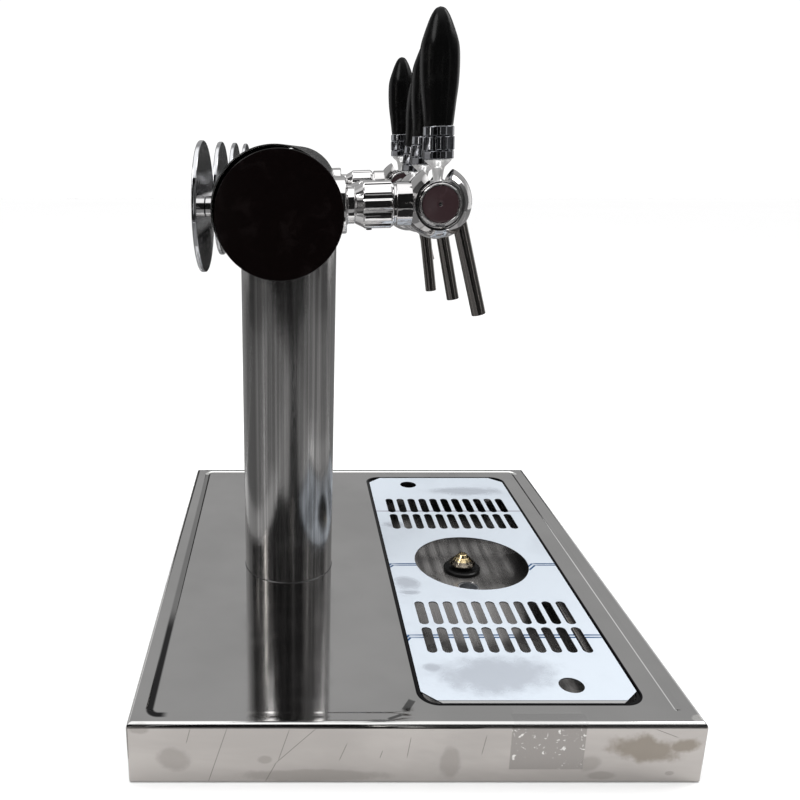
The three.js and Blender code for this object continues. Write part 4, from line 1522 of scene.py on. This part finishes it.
@dataclass
class Rinser:
    """The glass rinser: a black ring on the tray's floor and the brass cone that a glass presses down."""

    middle: Triple = (107.5, 42, 0)
    floor: float = 25
    ring_radius: float = 22.5
    ring_height: float = 5
    stub_radius: float = 11.5
    stub_end: float = 4
    inlet: float = 4
    seat: float = 12.3
    dish: tuple[float, ...] = (16.5, 15.8, 11, 10.2)
    dish_depth: float = 0.9
    stem_radius: float = 7
    stem_reach: float = 14
    travel: float = 4
    fit: float = 0.3
    cone_radius: float = 16
    cone_rim: float = 1.6
    cone_steps: Rows = ((14.2, 0.4, 13.5, 3.4), (8.2, 0.5, 7.6, 9.2))
    cone_top: float = 5
    cone_height: float = 13
    jet_radius: float = 1.5

    def turned(self, name: str, corners: Sequence[Sequence[float]]) -> Object:
        """Turns a hollow piece about the rinser's axis and returns it."""
        return Shape(name).turn(rounded(corners), ring=True, place=Matrix.Translation(self.middle)).made()

    def ring(self) -> Object:
        """Makes the black ring with its inlet.

        Returns:
            The ring's piece.
        """
        floor, outer, stub, inlet, seat = self.floor, self.ring_radius, self.stub_radius, self.inlet, self.seat
        top, bore, low = floor + self.ring_height, self.stem_radius + self.fit, self.stub_end
        brink, wall, foot, hub = self.dish
        sunk = top - self.dish_depth
        return self.turned("rinser_ring", [
            (inlet, low), (stub, low, 0.6), (stub, floor), (outer, floor, 0.3), (outer, top - 1.2, 1.2),
            (outer - 2.2, top, 1), (brink, top, 0.5), (wall, sunk, 0.3), (foot, sunk, 0.5), (hub, top, 0.5),
            (bore, top, 0.4), (bore, seat), (inlet, seat)])

    def cone(self) -> Object:
        """Makes the brass cone with its grooves and jet.

        Returns:
            The cone's piece.
        """
        jet, stem, rim = self.jet_radius, self.stem_radius, self.cone_radius
        low = self.floor + self.ring_height + self.travel + self.fit
        foot, high = low - self.stem_reach, low + self.cone_height
        corners = [(jet, foot), (stem, foot, 0.5), (stem, low, 0.8), (rim, low, 0.5),
                   (rim, low + self.cone_rim, 0.7)]
        for wide, soft, narrow, rise in self.cone_steps:
            corners += [(wide, low + rise, soft), (narrow, low + rise, 0.3)]
        corners += [(self.cone_top, high, 1), (jet, high, 0.3), (jet, high - 3)]
        return self.turned("rinser_cone", corners)

    def dress(self) -> None:
        """Builds the rinser with its finishes."""
        rubber = Plastic("black_rubber", (0.009, 0.009, 0.009), roughness=0.22, skin=0.8, skin_depth=0.02,
                         scuff=0.35).make()
        dress(self.ring(), rubber, "black_rubber", "dispenser", "rinser_base")
        dress(self.cone(), Brass().make(), "brass", "nozzle", "rinser_nozzle")


# ---------------------------------------------------------------- tower


@dataclass
class Tower:
    """The column and the bar, with the sizes that all pieces on them share."""

    foot: Triple = (-110, -5, 0)
    turn: float = -2.8
    radius: float = 50.8
    wall: float = 1.5
    fit: float = 0.3
    deck_top: float = 60
    bar_height: float = 484.5
    bar_half: float = 230
    pitch: float = 124
    tilts: tuple[float, ...] = (1.9, -0.8, -4.8, 1.9)
    shank_hole: float = 8.3
    screw_hole: float = 4.3
    line_opening: float = 42
    hole_reach: float = 60
    hole_start: float = 25
    hole_margin: float = 13
    opening_margin: float = 46
    opening_end: float = -5
    bevel: Pair = (0.4, 0.12)
    seam: float = 0.9
    flats: int = 160

    @property
    def place(self) -> Matrix:
        """The tower's own frame, its origin on the counter under the column."""
        return Matrix.Translation(Vector(self.foot)) @ Matrix.Rotation(math.radians(self.turn), 4, "Z")

    def along(self, number: int) -> float:
        """The place of a tap along the bar."""
        return (number - 2.5) * self.pitch

    def station(self, number: int) -> Matrix:
        """Where a tap or a badge holder meets the bar's axis."""
        return Matrix.Translation((0, self.along(number), 0))

    def tilt(self, number: int) -> Matrix:
        """How far a tap is turned about the bar."""
        return Matrix.Rotation(-math.radians(self.tilts[number - 1]), 4, "Y")

    def saddle(self, x: float) -> float:
        """How far from the bar's axis a pipe or a stud ends that is cut to fit round it."""
        return math.sqrt(max(0, (self.radius + self.fit) ** 2 - x ** 2))

    def put(self, name: str, piece: Object, offset: Matrix | None = None) -> Object:
        """Names a piece that was made in the bar's frame and puts it on the bar.

        Args:
            name: its name.
            piece: the piece.
            offset: where it goes in the bar's frame, in millimetres.

        Returns:
            The piece, in its place.
        """
        matrix = self.place @ Matrix.Translation((0, 0, self.bar_height)) @ (offset or Matrix.Identity(4))
        matrix.translation *= MM
        piece.name = name
        piece.matrix_world = matrix
        return piece

    def column(self) -> Object:
        """Makes the column up to its saddle under the bar.

        Returns:
            The column's piece.
        """
        shape = Shape("column_pipe")
        inner, low, top = self.radius - self.wall, self.deck_top, self.bar_height
        shape.turn([(inner, low), (self.radius - 0.2, low), (self.radius, low + 0.2), (self.radius, top),
                    (inner, top)], count=self.flats, ring=True)
        for vertex in shape.bm.verts:
            if vertex.co.z > top - 1:
                vertex.co.z = top - self.saddle(vertex.co.x)
        bmesh.ops.transform(shape.bm, matrix=self.place, verts=shape.bm.verts)
        return shape.made()

    def bar(self) -> Object:
        """Makes the bar with its holes for the shanks, the badge screws and the hoses.

        Returns:
            The bar's piece.
        """
        inner, half, (wide, slight) = self.radius - self.wall, self.bar_half, self.bevel
        lip = [(inner + self.fit, half), (self.radius - wide, half), (self.radius - slight, half - slight)]
        stops = [wide - half, -self.opening_margin, self.opening_margin, half - wide]
        for number in TAPS:
            stops += [self.along(number) - self.hole_margin, self.along(number) + self.hole_margin]
        stops.sort()
        outside = [(radius, -y) for radius, y in lip] + [(self.radius, y) for y in stops] + lip[::-1]
        inside = [(inner, y) for y in reversed(stops)]
        pipe = Shape("bar_pipe").turn(outside + inside, Axis.Y, self.flats, ring=True).made(weighted=False)
        start, reach = self.hole_start, self.hole_reach
        for number in TAPS:
            spot = self.station(number)
            drill(pipe, self.shank_hole, start, reach, Axis.X, 48, spot @ self.tilt(number))
            drill(pipe, self.screw_hole, -reach, -start, Axis.X, 32, spot)
        drill(pipe, self.line_opening, -reach, self.opening_end, count=96)
        smooth(pipe.data, 32)
        weigh(pipe)
        return self.put("bar_pipe", pipe)

    def saddle_seam(self) -> Object:
        """Makes the polished weld where the column meets the bar.

        Returns:
            The weld's piece.
        """
        edge = circle(self.radius, count=self.flats)
        points = [self.place @ Vector((x, y, self.bar_height - abs(y))) for x, y in edge]
        return tube("saddle_weld", points, self.seam, closed=True)

    def foot_seam(self) -> Object:
        """Makes the thin weld round the column's foot.

        Returns:
            The weld's piece.
        """
        edge = circle(self.radius + 0.1, count=self.flats)
        points = [self.place @ Vector((x, y, self.deck_top + 0.25)) for x, y in edge]
        return tube("foot_weld", points, self.seam / 2, closed=True)

    def dress(self) -> None:
        """Builds the column and the bar with their finish."""
        steel = Steel("tower_tube", (0.56, 0.55, 0.545), roughness=0.15, grain=(1, 1, 60), grain_depth=0.05,
                      streak=0.95, wave=0.012).make()
        bar = Steel("bar_tube_steel", (0.55, 0.54, 0.535), roughness=0.12, grain=(1, 60, 1), grain_depth=0.04,
                    streak=0.5, wave=0.012).make()
        weld = Steel("polished_weld", (0.1, 0.1, 0.1), roughness=0.25, smudge=0.2).make()
        dress(self.column(), steel, "tower_steel", "dispenser", "column_tube")
        dress(self.bar(), bar, "tower_steel", "dispenser", "bar_tube")
        dress(self.saddle_seam(), weld, "tower_steel", "dispenser")
        dress(self.foot_seam(), weld, "tower_steel", "dispenser")


@dataclass
class EndCap:
    """The black cap that closes one end of the bar, hanging a little low in it."""

    tower: Tower
    side: int
    thickness: float = 3
    spigot: float = 12
    slack: float = 3.5
    overhang: float = 0.5
    edge: float = 0.9

    def build(self) -> Object:
        """Makes the cap.

        Returns:
            The cap's piece.
        """
        bore = self.tower.radius - self.tower.wall - self.slack * math.sqrt(2) - self.tower.fit
        radius = self.tower.radius + self.overhang
        profile = rounded([
            (0, -self.spigot + 2), (bore - 3, -self.spigot + 2), (bore - 3, -self.spigot, 0.4),
            (bore - 0.6, -self.spigot, 0.6), (bore, 0), (radius, 0, 0.3), (radius, self.thickness, self.edge),
            (0, self.thickness)], closed=False)
        shape = Shape("cap").turn(profile, Axis.Y, self.tower.flats)
        turned = Matrix.Rotation(math.pi if self.side < 0 else 0, 4, "Z")
        spot = Matrix.Translation((-self.side * self.slack, self.side * (self.tower.bar_half + self.tower.fit),
                                   -self.slack))
        name = "near_cap" if self.side < 0 else "far_cap"
        return self.tower.put(name, shape.made(), spot @ turned)

    def dress(self) -> None:
        """Builds the cap with its finish."""
        node = "end_cap_near" if self.side < 0 else "end_cap_far"
        gloss = Plastic(f"cap_gloss_{node[8:]}", (0.0022, 0.0012, 0.0012), roughness=0.16, skin=2.5,
                        skin_depth=0.004, scuff=0.06).make()
        dress(self.build(), gloss, "black_gloss", "dispenser", node)


# ---------------------------------------------------------------- taps


def tooth(angle: float, ribs: int, end: float = 0.8, flank: float = 0.18) -> float:
    """The height of a rib's flat-topped tooth at an angle, from nothing to one."""
    turn = (angle * ribs / (2 * math.pi)) % 1
    return ease(min(turn, end - turn) / flank)


def place_of(number: int, first: Object, mesh: bpy.types.Mesh) -> Object:
    """Gives the piece for one place of the four along the bar.

    Args:
        number: the place, from 1.
        first: the piece that was made for the first place.
        mesh: the mesh that all four share.

    Returns:
        That piece at the first place, a twin with its mesh at the others.
    """
    if number == TAPS[0]:
        return first
    twin = new_object(mesh.name, mesh)
    weigh(twin)
    return twin


@dataclass
class TapFinishes:
    """The finishes that the four taps share."""

    chrome: Material
    stem: Material
    ferrule: Material
    dark: Material
    cap: Material
    spout: Material
    grip: Material


@dataclass
class Tap:
    """One tap's pieces, made in the tap's own frame: its origin on the bar's axis, its shank along X."""

    tower: Tower
    reach: float = 132
    flange_radius: float = 23
    flange_face: float = 57
    neck_radius: float = 15
    neck_end: float = 63.6
    coupling: Pair = (11, 77.6)
    tail: float = 18
    bore: float = 3.5
    barb: Pair = (5.2, 29)
    shank_radius: float = 8
    collar: Triple = (63.9, 95.6, 19.5)
    rib_depth: float = 1.4
    grub: Triple = (75.5, 2.4, 2.3)
    ribs: int = 10
    taper: float = 6.5
    inlet_radius: float = 18
    inlet_start: float = 97.6
    body_radius: float = 28
    body_height: float = 29.5
    body_half: float = 20
    body_face: float = 17.2
    face_bevel: Pair = (0.7, 0.12)
    ball_reach: float = 19.55
    ball_rows: int = 40
    rotor_bore: float = 18.3
    bore_mouth: Pair = (19.72, 19.5)
    far_wall: float = 3.5
    inlet_end: float = -18.25
    socket: Pair = (-2.6, 12)
    soft_edge: float = 0.35
    soft_angle: float = 38
    notch_degrees: float = 25
    spout_root: Pair = (19.1, -19.31)
    spout_tilt: float = 13.2
    spout_length: float = 77.1
    spout_radii: Pair = (6, 4.5)
    spout_seat: float = -2.3
    cap_radius: float = 16.4
    cap_proud: float = 3.5
    cap_sunk: float = 0.7
    stem: tuple[Pair, ...] = ((3.8, 18), (4.4, 23), (5.6, 28.3), (8.3, 30.9), (10.6, 33.4), (11, 34.3))
    rotor: Triple = (18, -16.7, 16.2)
    ferrule: Pair = (34.7, 60.1)
    ferrule_radii: Triple = (12.6, 13.1, 12.6)
    ferrule_shares: Pair = (0.24, 0.72)
    grip_span: Pair = (60.4, 148.8)
    grip_radius: float = 15.9
    grip_heights: tuple[float, ...] = (0, 0.2, 0.36, 0.55, 0.68, 0.8, 0.94, 0.985, 1)
    grip_radii: tuple[float, ...] = (0.735, 0.86, 0.965, 1, 0.95, 0.75, 0.42, 0.22, 0)
    rod: Pair = (5, 95.1)
    made: dict[str, Object] = field(default_factory=dict)

    def shank(self) -> Object:
        """Makes the shank: flange, neck, coupling, thread and barbed tail.

        Returns:
            The shank's piece.
        """
        inner, face, neck, bore = self.tower.radius - 3, self.flange_face, self.neck_radius, self.bore
        (coupling, end), (barb, thread), tail = self.coupling, self.barb, self.tail
        root = barb - 1
        profile = rounded([
            (self.shank_radius, inner), (self.flange_radius, inner), (self.flange_radius, face, 1.4),
            (neck + 1.2, face, 0.6), (neck, face + 1.2, 0.8), (neck, self.neck_end, 0.5),
            (coupling, self.neck_end), (coupling, end, 0.5), (bore, end), (bore, tail), (root, tail, 0.3),
            (barb, tail + 4), (root, tail + 4.2), (barb, tail + 8), (root, tail + 8.2), (root, thread),
            (self.shank_radius, thread, 0.6)])
        shape = Shape("shank").turn(profile, Axis.X, 96, ring=True)
        for vertex in shape.bm.verts:
            if abs(vertex.co.x - inner) < 0.01:
                vertex.co.x = self.tower.saddle(vertex.co.z)
        return shape.made()

    def ribbed_collar(self) -> Object:
        """Makes the ribbed collar, its ribs run out softly at both ends.

        Returns:
            The collar's piece.
        """
        start, end, radius = self.collar
        root, bore = radius - self.rib_depth, self.coupling[0] + self.tower.fit
        low, high = start + self.taper, end - 1
        profile = rounded([(bore, start), (self.neck_radius - 0.2, start, 0.4), (root, low, 0.6)], closed=False)
        profile += [(root, low + by) for by in (0.4, 0.8, 1.2, 1.8)]
        profile += [(root, high - by) for by in (1.4, 0.8, 0.4, 0)]
        profile += [(root - 0.2, end - 0.3), (root - 0.6, end), (bore, end)]

        def swell(reach: float, height: float, angle: float) -> float:
            """Raises the ribs on the collar's straight part."""
            fade = max(0.0, min(1.0, (height - low) / 1.4, (high - height) / 1.2))
            return reach + self.rib_depth * tooth(angle, self.ribs) * fade if reach > root - 0.01 else reach

        return Shape("collar").turn(profile, Axis.X, self.ribs * 24, ring=True, swell=swell).made(28)

    def grub_screw(self) -> Object:
        """Makes the small screw under the collar, with its socket.

        Returns:
            The screw's piece.
        """
        reach, radius, out = self.grub
        root = self.collar[2] - self.rib_depth + 0.05
        low = -root - out
        profile = rounded([(0, -root), (radius, -root), (radius, low, 0.4), (radius * 0.6, low, 0.2),
                           (radius * 0.6, low + 0.8), (0, low + 0.8)], closed=False)
        return Shape("grub_screw").turn(profile, count=24, place=Matrix.Translation((reach, 0, 0))).made()

    def body(self) -> Object:
        """Makes the round body with its inlet, its notch and the spout's socket.

        Returns:
            The body's piece.
        """
        crown = self.body_height / self.body_radius
        half, far, bore = self.body_half, self.body_half - self.far_wall, self.rotor_bore
        narrow, low = self.face_bevel
        profile = [(0, half), (self.body_face, half), (self.body_face + narrow, half - low)]
        for i in range(self.ball_rows + 1):
            y = self.ball_reach * math.cos(math.pi * i / self.ball_rows)
            profile.append((math.sqrt(self.body_radius ** 2 - y * y), y))
        mouth, seat = self.bore_mouth
        profile += [(bore + low, -mouth), (bore, -seat), (bore, far), (0, far)]

        def swell(reach: float, height: float, angle: float) -> float:
            """Stretches the outside upwards, and keeps the bore round."""
            stretch = 1 if abs(reach - bore) < 0.01 else math.hypot(math.cos(angle), math.sin(angle) / crown)
            return reach / stretch

        ball = Shape("ball").turn(profile, Axis.Y, 144, swell=swell).made(weighted=False)
        start, rim, fit = self.inlet_start - self.reach, self.inlet_radius, self.tower.fit
        shoulder, collar = self.coupling[1] + fit - self.reach, self.collar[1] + fit - self.reach
        inlet = rounded([
            (0, shoulder), (self.coupling[0], shoulder), (self.coupling[0], collar), (rim - 2, start - 1.7),
            (rim - 2, start), (rim, start, 0.8), (rim, self.inlet_end), (0, self.inlet_end)], closed=False)
        cut(ball, Shape("inlet").turn(inlet, Axis.X, 112).made(weighted=False), joined=True)
        notch = math.radians(self.notch_degrees)
        slope, low, high = math.tan(notch), bore * math.cos(notch) - 1, self.body_height + 1
        wedge = Shape("wedge")
        rows = [[wedge.bm.verts.new((x * slope, y, z)) for x, z in (
            (-low, low), (-high, high), (high, high), (low, low))] for y in (-half - 1, half + 1)]
        wedge.bridge(*rows)
        for row in rows:
            wedge.bm.faces.new(row)
        cut(ball, wedge.made(weighted=False))
        drill(ball, self.spout_radii[0] + fit, *self.socket, place=self.spout_axis())
        edges = ball.modifiers.new("soft_edges", "BEVEL")
        edges.limit_method = "ANGLE"
        edges.angle_limit = math.radians(self.soft_angle)
        edges.width = self.soft_edge * MM
        edges.segments = 2
        edges.use_clamp_overlap = True
        settle(ball)
        smooth(ball.data, 32)
        weigh(ball)
        ball.name = "body"
        return ball

    def spout_axis(self) -> Matrix:
        """Gives the frame of the spout, its foot at the root and Z along it.

        Returns:
            The frame, in the tap head's own.
        """
        x, z = self.spout_root
        return Matrix.Translation((x, 0, z)) @ Matrix.Rotation(
            -math.radians(self.spout_tilt), 4, "Y") @ Matrix.Rotation(math.pi, 4, "X")

    def spout(self) -> Object:
        """Makes the straight spout with its rounded lip.

        Returns:
            The spout's piece.
        """
        outer, inner = self.spout_radii
        seat, lip = self.spout_seat, self.spout_length
        profile = rounded([(inner, seat), (outer, seat, 0.3), (outer, lip, 0.5), (inner, lip, 0.4)])
        return Shape("spout").turn(profile, count=72, ring=True, place=self.spout_axis()).made()

    def side_cap(self) -> Object:
        """Makes the screwed cap in the body's side, with its raised rim.

        Returns:
            The cap's piece.
        """
        face, bore, r = -self.body_half, self.rotor_bore - self.tower.fit, self.cap_radius
        out, sunk = face - self.cap_proud, face - self.cap_proud + self.cap_sunk
        profile = rounded([
            (0, face + 3), (bore, face + 3), (bore, face + 0.4, 0.3), (r, face, 0.3), (r, out, 0.6),
            (r - 1.1, out, 0.35), (r - 1.5, sunk + 0.6, 0.2), (0, sunk + 0.6)], closed=False)
        return Shape("side_cap").turn(profile, Axis.Y, 112).made(24)

    def cap_disc(self) -> Object:
        """Makes the dark dished disc inside the side cap's rim, with its dimple.

        Returns:
            The disc's piece.
        """
        sunk = self.cap_sunk - self.body_half - self.cap_proud
        r = self.cap_radius - 1.8
        profile = rounded([
            (0, sunk + 1.1), (r, sunk + 1.1), (r, sunk - 0.1, 0.4), (r - 1.6, sunk + 0.05, 1),
            (3.2, sunk + 0.25, 1), (1.9, sunk + 0.15, 0.4), (1.2, sunk + 0.8, 0.3), (0, sunk + 0.9)],
            closed=False)
        return Shape("cap_disc").turn(profile, Axis.Y, 112).made(24)

    def lever(self) -> Object:
        """Makes the valve's rotor, the flared stem and the rod in the handle.

        Returns:
            The lever's piece.
        """
        radius, near, far = self.rotor
        shape = Shape("lever")
        rotor = rounded([(0, near), (radius, near, 0.5), (radius, far, 0.5), (0, far)], closed=False)
        shape.turn(rotor, Axis.Y, 112)
        flare = [(p.x, p.y) for p in flowing([Vector((r, z)) for r, z in self.stem], 6)]
        (root, _), (rim, brim), (rod, top) = self.stem[0], self.stem[-1], self.rod
        profile = [(0, 17), (root, 17), *flare, (rim - 0.3, brim + 0.1), (rod, brim + 0.1), (rod, top - 0.5),
                   (rod - 0.5, top), (0, top)]
        return shape.turn(profile, count=64).made()

    def ferrule_piece(self) -> Object:
        """Makes the ribbed metal foot of the handle.

        Returns:
            The ferrule's piece.
        """
        low, high = self.ferrule
        band, rib, top = self.ferrule_radii
        first, second = (low + (high - low) * share for share in self.ferrule_shares)
        root, bore = band - 1, self.rod[0] + self.tower.fit
        profile = rounded([(bore, low), (band, low, 0.5), (band, first, 0.4), (root, first + 0.3)], closed=False)
        profile += [(root, first + by) for by in (0.5, 0.9, 1.4)]
        profile += [(root, second - by) for by in (1.4, 0.9, 0.5)]
        profile += rounded([(root, second - 0.3), (top, second, 0.4), (top, high, 0.9), (bore, high)],
                           closed=False)

        def swell(reach: float, height: float, angle: float) -> float:
            """Raises the ribs between the two bands."""
            fade = max(0.0, min(1.0, (height - first - 0.3) / 0.9, (second - 0.3 - height) / 0.9))
            return reach + (rib - root) * tooth(angle, self.ribs) * fade if abs(reach - root) < 0.01 else reach

        return Shape("ferrule").turn(profile, count=self.ribs * 24, ring=True, swell=swell).made(28)

    def grip(self) -> Object:
        """Makes the black torpedo grip.

        Returns:
            The grip's piece.
        """
        low, high = self.grip_span
        points = [Vector((self.grip_radius * r, low + (high - low) * h))
                  for h, r in zip(self.grip_heights, self.grip_radii)]
        outer = [(max(0.0, p.x), min(high, p.y)) for p in flowing(points, 8)]
        inner, end = (size + self.tower.fit for size in self.rod)
        foot = outer[0][0]
        profile = [(0, end), (inner, end), (inner, low + 0.3), (inner + 0.3, low), (foot - 0.5, low),
                   (foot - 0.12, low + 0.14), *outer[1:-1], (0, high)]
        return Shape("grip").turn(profile, count=96).made()

    def build(self) -> None:
        """Makes one of each piece; the four taps share their meshes."""
        makers = {"shank": self.shank, "collar": self.ribbed_collar, "body": self.body, "spout": self.spout,
                  "side_cap": self.side_cap, "cap_disc": self.cap_disc, "lever": self.lever,
                  "grub_screw": self.grub_screw, "ferrule": self.ferrule_piece, "grip": self.grip}
        self.made = {kind: maker() for kind, maker in makers.items()}

    def dress(self, finishes: TapFinishes) -> None:
        """Puts the four taps on the bar with their finishes.

        Args:
            finishes: the taps' shared finishes.
        """
        slots = {"shank": ("chrome", finishes.chrome), "collar": ("chrome", finishes.chrome),
                 "body": ("chrome", finishes.dark), "spout": ("spout_chrome", finishes.spout),
                 "side_cap": ("cap_chrome", finishes.chrome), "cap_disc": ("cap_chrome", finishes.cap),
                 "lever": ("chrome", finishes.stem), "grub_screw": ("black_rubber", finishes.grip),
                 "ferrule": ("chrome", finishes.ferrule), "grip": ("black_grip", finishes.grip)}
        meshes = {kind: first.data for kind, first in self.made.items()}
        for number in TAPS:
            at_bar = self.tower.station(number) @ self.tower.tilt(number)
            at_head = at_bar @ Matrix.Translation((self.reach, 0, 0))
            for kind, (slot, material) in slots.items():
                piece = place_of(number, self.made[kind], meshes[kind])
                offset = at_bar if kind in ("shank", "collar", "grub_screw") else at_head
                self.tower.put(f"tap_{number}_{kind}_piece", piece, offset)
                if kind == "grip":
                    piece.data = piece.data.copy()
                    piece.data.transform(piece.matrix_world)
                    piece.matrix_world = Matrix.Identity(4)
                body = f"handle_{number}" if kind in ("lever", "ferrule", "grip") else "dispenser"
                nodes = [] if kind in ("cap_disc", "grub_screw") else [f"tap_{number}_{kind}"]
                dress(piece, material, slot, body, *nodes)


# ---------------------------------------------------------------- badge holders


@dataclass
class Badge:
    """The round badge holders behind the bar, each on its stud."""

    tower: Tower
    radius: float = 53.7
    back: float = 60.5
    thickness: float = 4
    rim: float = 3
    recess: float = 1.5
    stud_radius: float = 8
    screw: Pair = (4, 40.3)

    def disc(self) -> Object:
        """Makes the disc with its raised rim and shallow bare face.

        Returns:
            The disc's piece.
        """
        back, front = -self.back, -self.back - self.thickness
        face = front + self.recess
        profile = rounded([
            (0, back), (self.radius, back, 1), (self.radius, front, 1.1), (self.radius - self.rim, front, 0.6),
            (self.radius - self.rim - 0.6, face, 0.8), (0, face)], closed=False)
        return Shape("disc").turn(profile, Axis.X, 160).made(24)

    def stud(self) -> Object:
        """Makes the stud that spaces the disc from the bar, with its screw.

        Returns:
            The stud's piece.
        """
        near, (screw, tip) = 3 - self.tower.radius, self.screw
        thread = rounded([(0, near + 1), (screw, near + 1), (screw, -tip - 0.5), (0, -tip)], closed=False)
        shape = Shape("stud").turn(thread, Axis.X, 40)
        end, saddle = self.tower.fit - self.back, -self.tower.radius - 2.6
        body = rounded([(0, end), (self.stud_radius, end, 0.4), (self.stud_radius, saddle),
                        (self.stud_radius, near), (0, near)], closed=False)
        shape.turn(body, Axis.X, 64)
        for vertex in shape.bm.verts:
            if abs(vertex.co.x - near) < 0.01:
                vertex.co.x = -self.tower.saddle(vertex.co.z)
        return shape.made()

    def dress(self, dark: Material, chrome: Material) -> None:
        """Puts the four badge holders on the bar.

        Args:
            dark: the discs' finish.
            chrome: the studs' finish.
        """
        made = {"disc": self.disc(), "stud": self.stud()}
        for number in TAPS:
            for kind, first in made.items():
                piece = place_of(number, first, first.data)
                self.tower.put(f"badge_{number}_{kind}_piece", piece, self.tower.station(number))
                finish = dark if kind == "disc" else chrome
                dress(piece, finish, "chrome", "dispenser", f"badge_{number}_{kind}")


# ---------------------------------------------------------------- hoses


@dataclass
class Hoses:
    """The four clear hoses inside the tower, from the shanks' tails down to the deck's underside."""

    tower: Tower
    radius: float = 4.75
    tail: float = 17.7
    bore: float = 49.3
    collar_bore: float = 40
    clear: float = 4
    outer: tuple[tuple[Triple, ...], tuple[Triple, ...]] = (
        ((0, -1.387, -0.203), (-0.02, -1.21, -0.467), (0, -0.847, -0.548), (0, -0.5, -0.568),
         (0.1, -0.323, -0.649)),
        ((0.35, -0.625, -0.1), (0.4, -0.55, -0.157), (0.4, -0.55, -0.418), (0.4, -0.55, -1)))
    inner: tuple[tuple[Triple, ...], tuple[Triple, ...]] = (
        ((0.061, -0.387, -0.101), (0.183, -0.242, -0.203)),
        ((0.525, -0.35, -0.05), (0.675, -0.225, -0.1), (0.675, -0.225, -0.209), (0.675, -0.225, -0.46),
         (0.675, -0.225, -1)))

    def route(self, number: int) -> list[Vector]:
        """The middle line of one hose, in the frame's millimetres.

        Args:
            number: the tap that it feeds.

        Returns:
            Its points from the shank's tail to its end.
        """
        side = 1 if number <= 2 else -1
        along, down = self.outer if number in (1, 4) else self.inner
        start = self.tower.tilt(number) @ self.tower.station(number)
        points = [start @ Vector((x, 0, 0)) for x in (self.tail, self.tail + self.tower.fit - 2 * self.radius)]
        points += [Vector((x * self.bore, side * y * self.tower.pitch, z * self.bore)) for x, y, z in along]
        drop = self.tower.bar_height - self.clear
        points += [Vector((x * self.collar_bore, side * y * self.collar_bore, z * drop)) for x, y, z in down]
        lift = self.tower.place @ Matrix.Translation((0, 0, self.tower.bar_height))
        return [lift @ point for point in flowing(points)]

    def dress(self) -> None:
        """Builds the four hoses with their finish."""
        material = Hose().make()
        for number in TAPS:
            hose = tube(f"hose_{number}", self.route(number), self.radius)
            dress(hose, material, "clear_line", "dispenser", f"beer_line_{number}")


# ---------------------------------------------------------------- assembly


def main() -> None:
    """Builds the studio and every piece of the dispenser, in order."""
    logging.basicConfig(level=logging.INFO, format="%(message)s")
    Studio().build()
    Deck().dress()
    DripTray().dress()
    Grille().dress()
    Rinser().dress()
    tower = Tower()
    tower.dress()
    for side in (-1, 1):
        EndCap(tower, side).dress()
    chrome = Chrome("bright_chrome").make()
    finishes = TapFinishes(
        chrome=chrome,
        # painted highlight: a partly metallic near-white chrome, so the stem stays pale as its highlights would
        # make it
        stem=Chrome("stem_painted_highlight_chrome", (0.97, 0.97, 0.97), roughness=0.12, metal=0.62).make(),
        # painted shade: a darkened copy of the chrome, so the ferrule looks as dark as the shade and dark
        # reflections on it
        ferrule=Chrome("ferrule_painted_shade_chrome", (0.2, 0.205, 0.22), roughness=0.05).make(),
        dark=Chrome("body_chrome", (0.5, 0.49, 0.49), roughness=0.05, wave=0.2).make(),
        cap=Plastic("cap_lacquer", (0.028, 0.0155, 0.0175), roughness=0.12, skin=3, skin_depth=0.004,
                    scuff=0.1, shine=0.4).make(),
        spout=Chrome("spout_chrome", (0.22, 0.205, 0.195), roughness=0.08, wave=0.1, dull=0.15).make(),
        grip=Plastic("grip_plastic", (0.002, 0.002, 0.002), roughness=0.2, skin=1.0, skin_depth=0.006,
                     shine=0.08).make())
    taps = Tap(tower)
    taps.build()
    taps.dress(finishes)
    Badge(tower).dress(Chrome("badge_chrome", (0.45, 0.455, 0.47), roughness=0.06, wave=0.03).make(), chrome)
    Hoses(tower).dress()
    zinc = Zinc().make()
    nuts = [f"tap_{number}_back_nut" for number in TAPS]
    for node in ("column_base_collar", "column_clamp_nut", "drain_spigot", *nuts):
        redress(node, zinc)


if __name__ == "__main__":
    main()
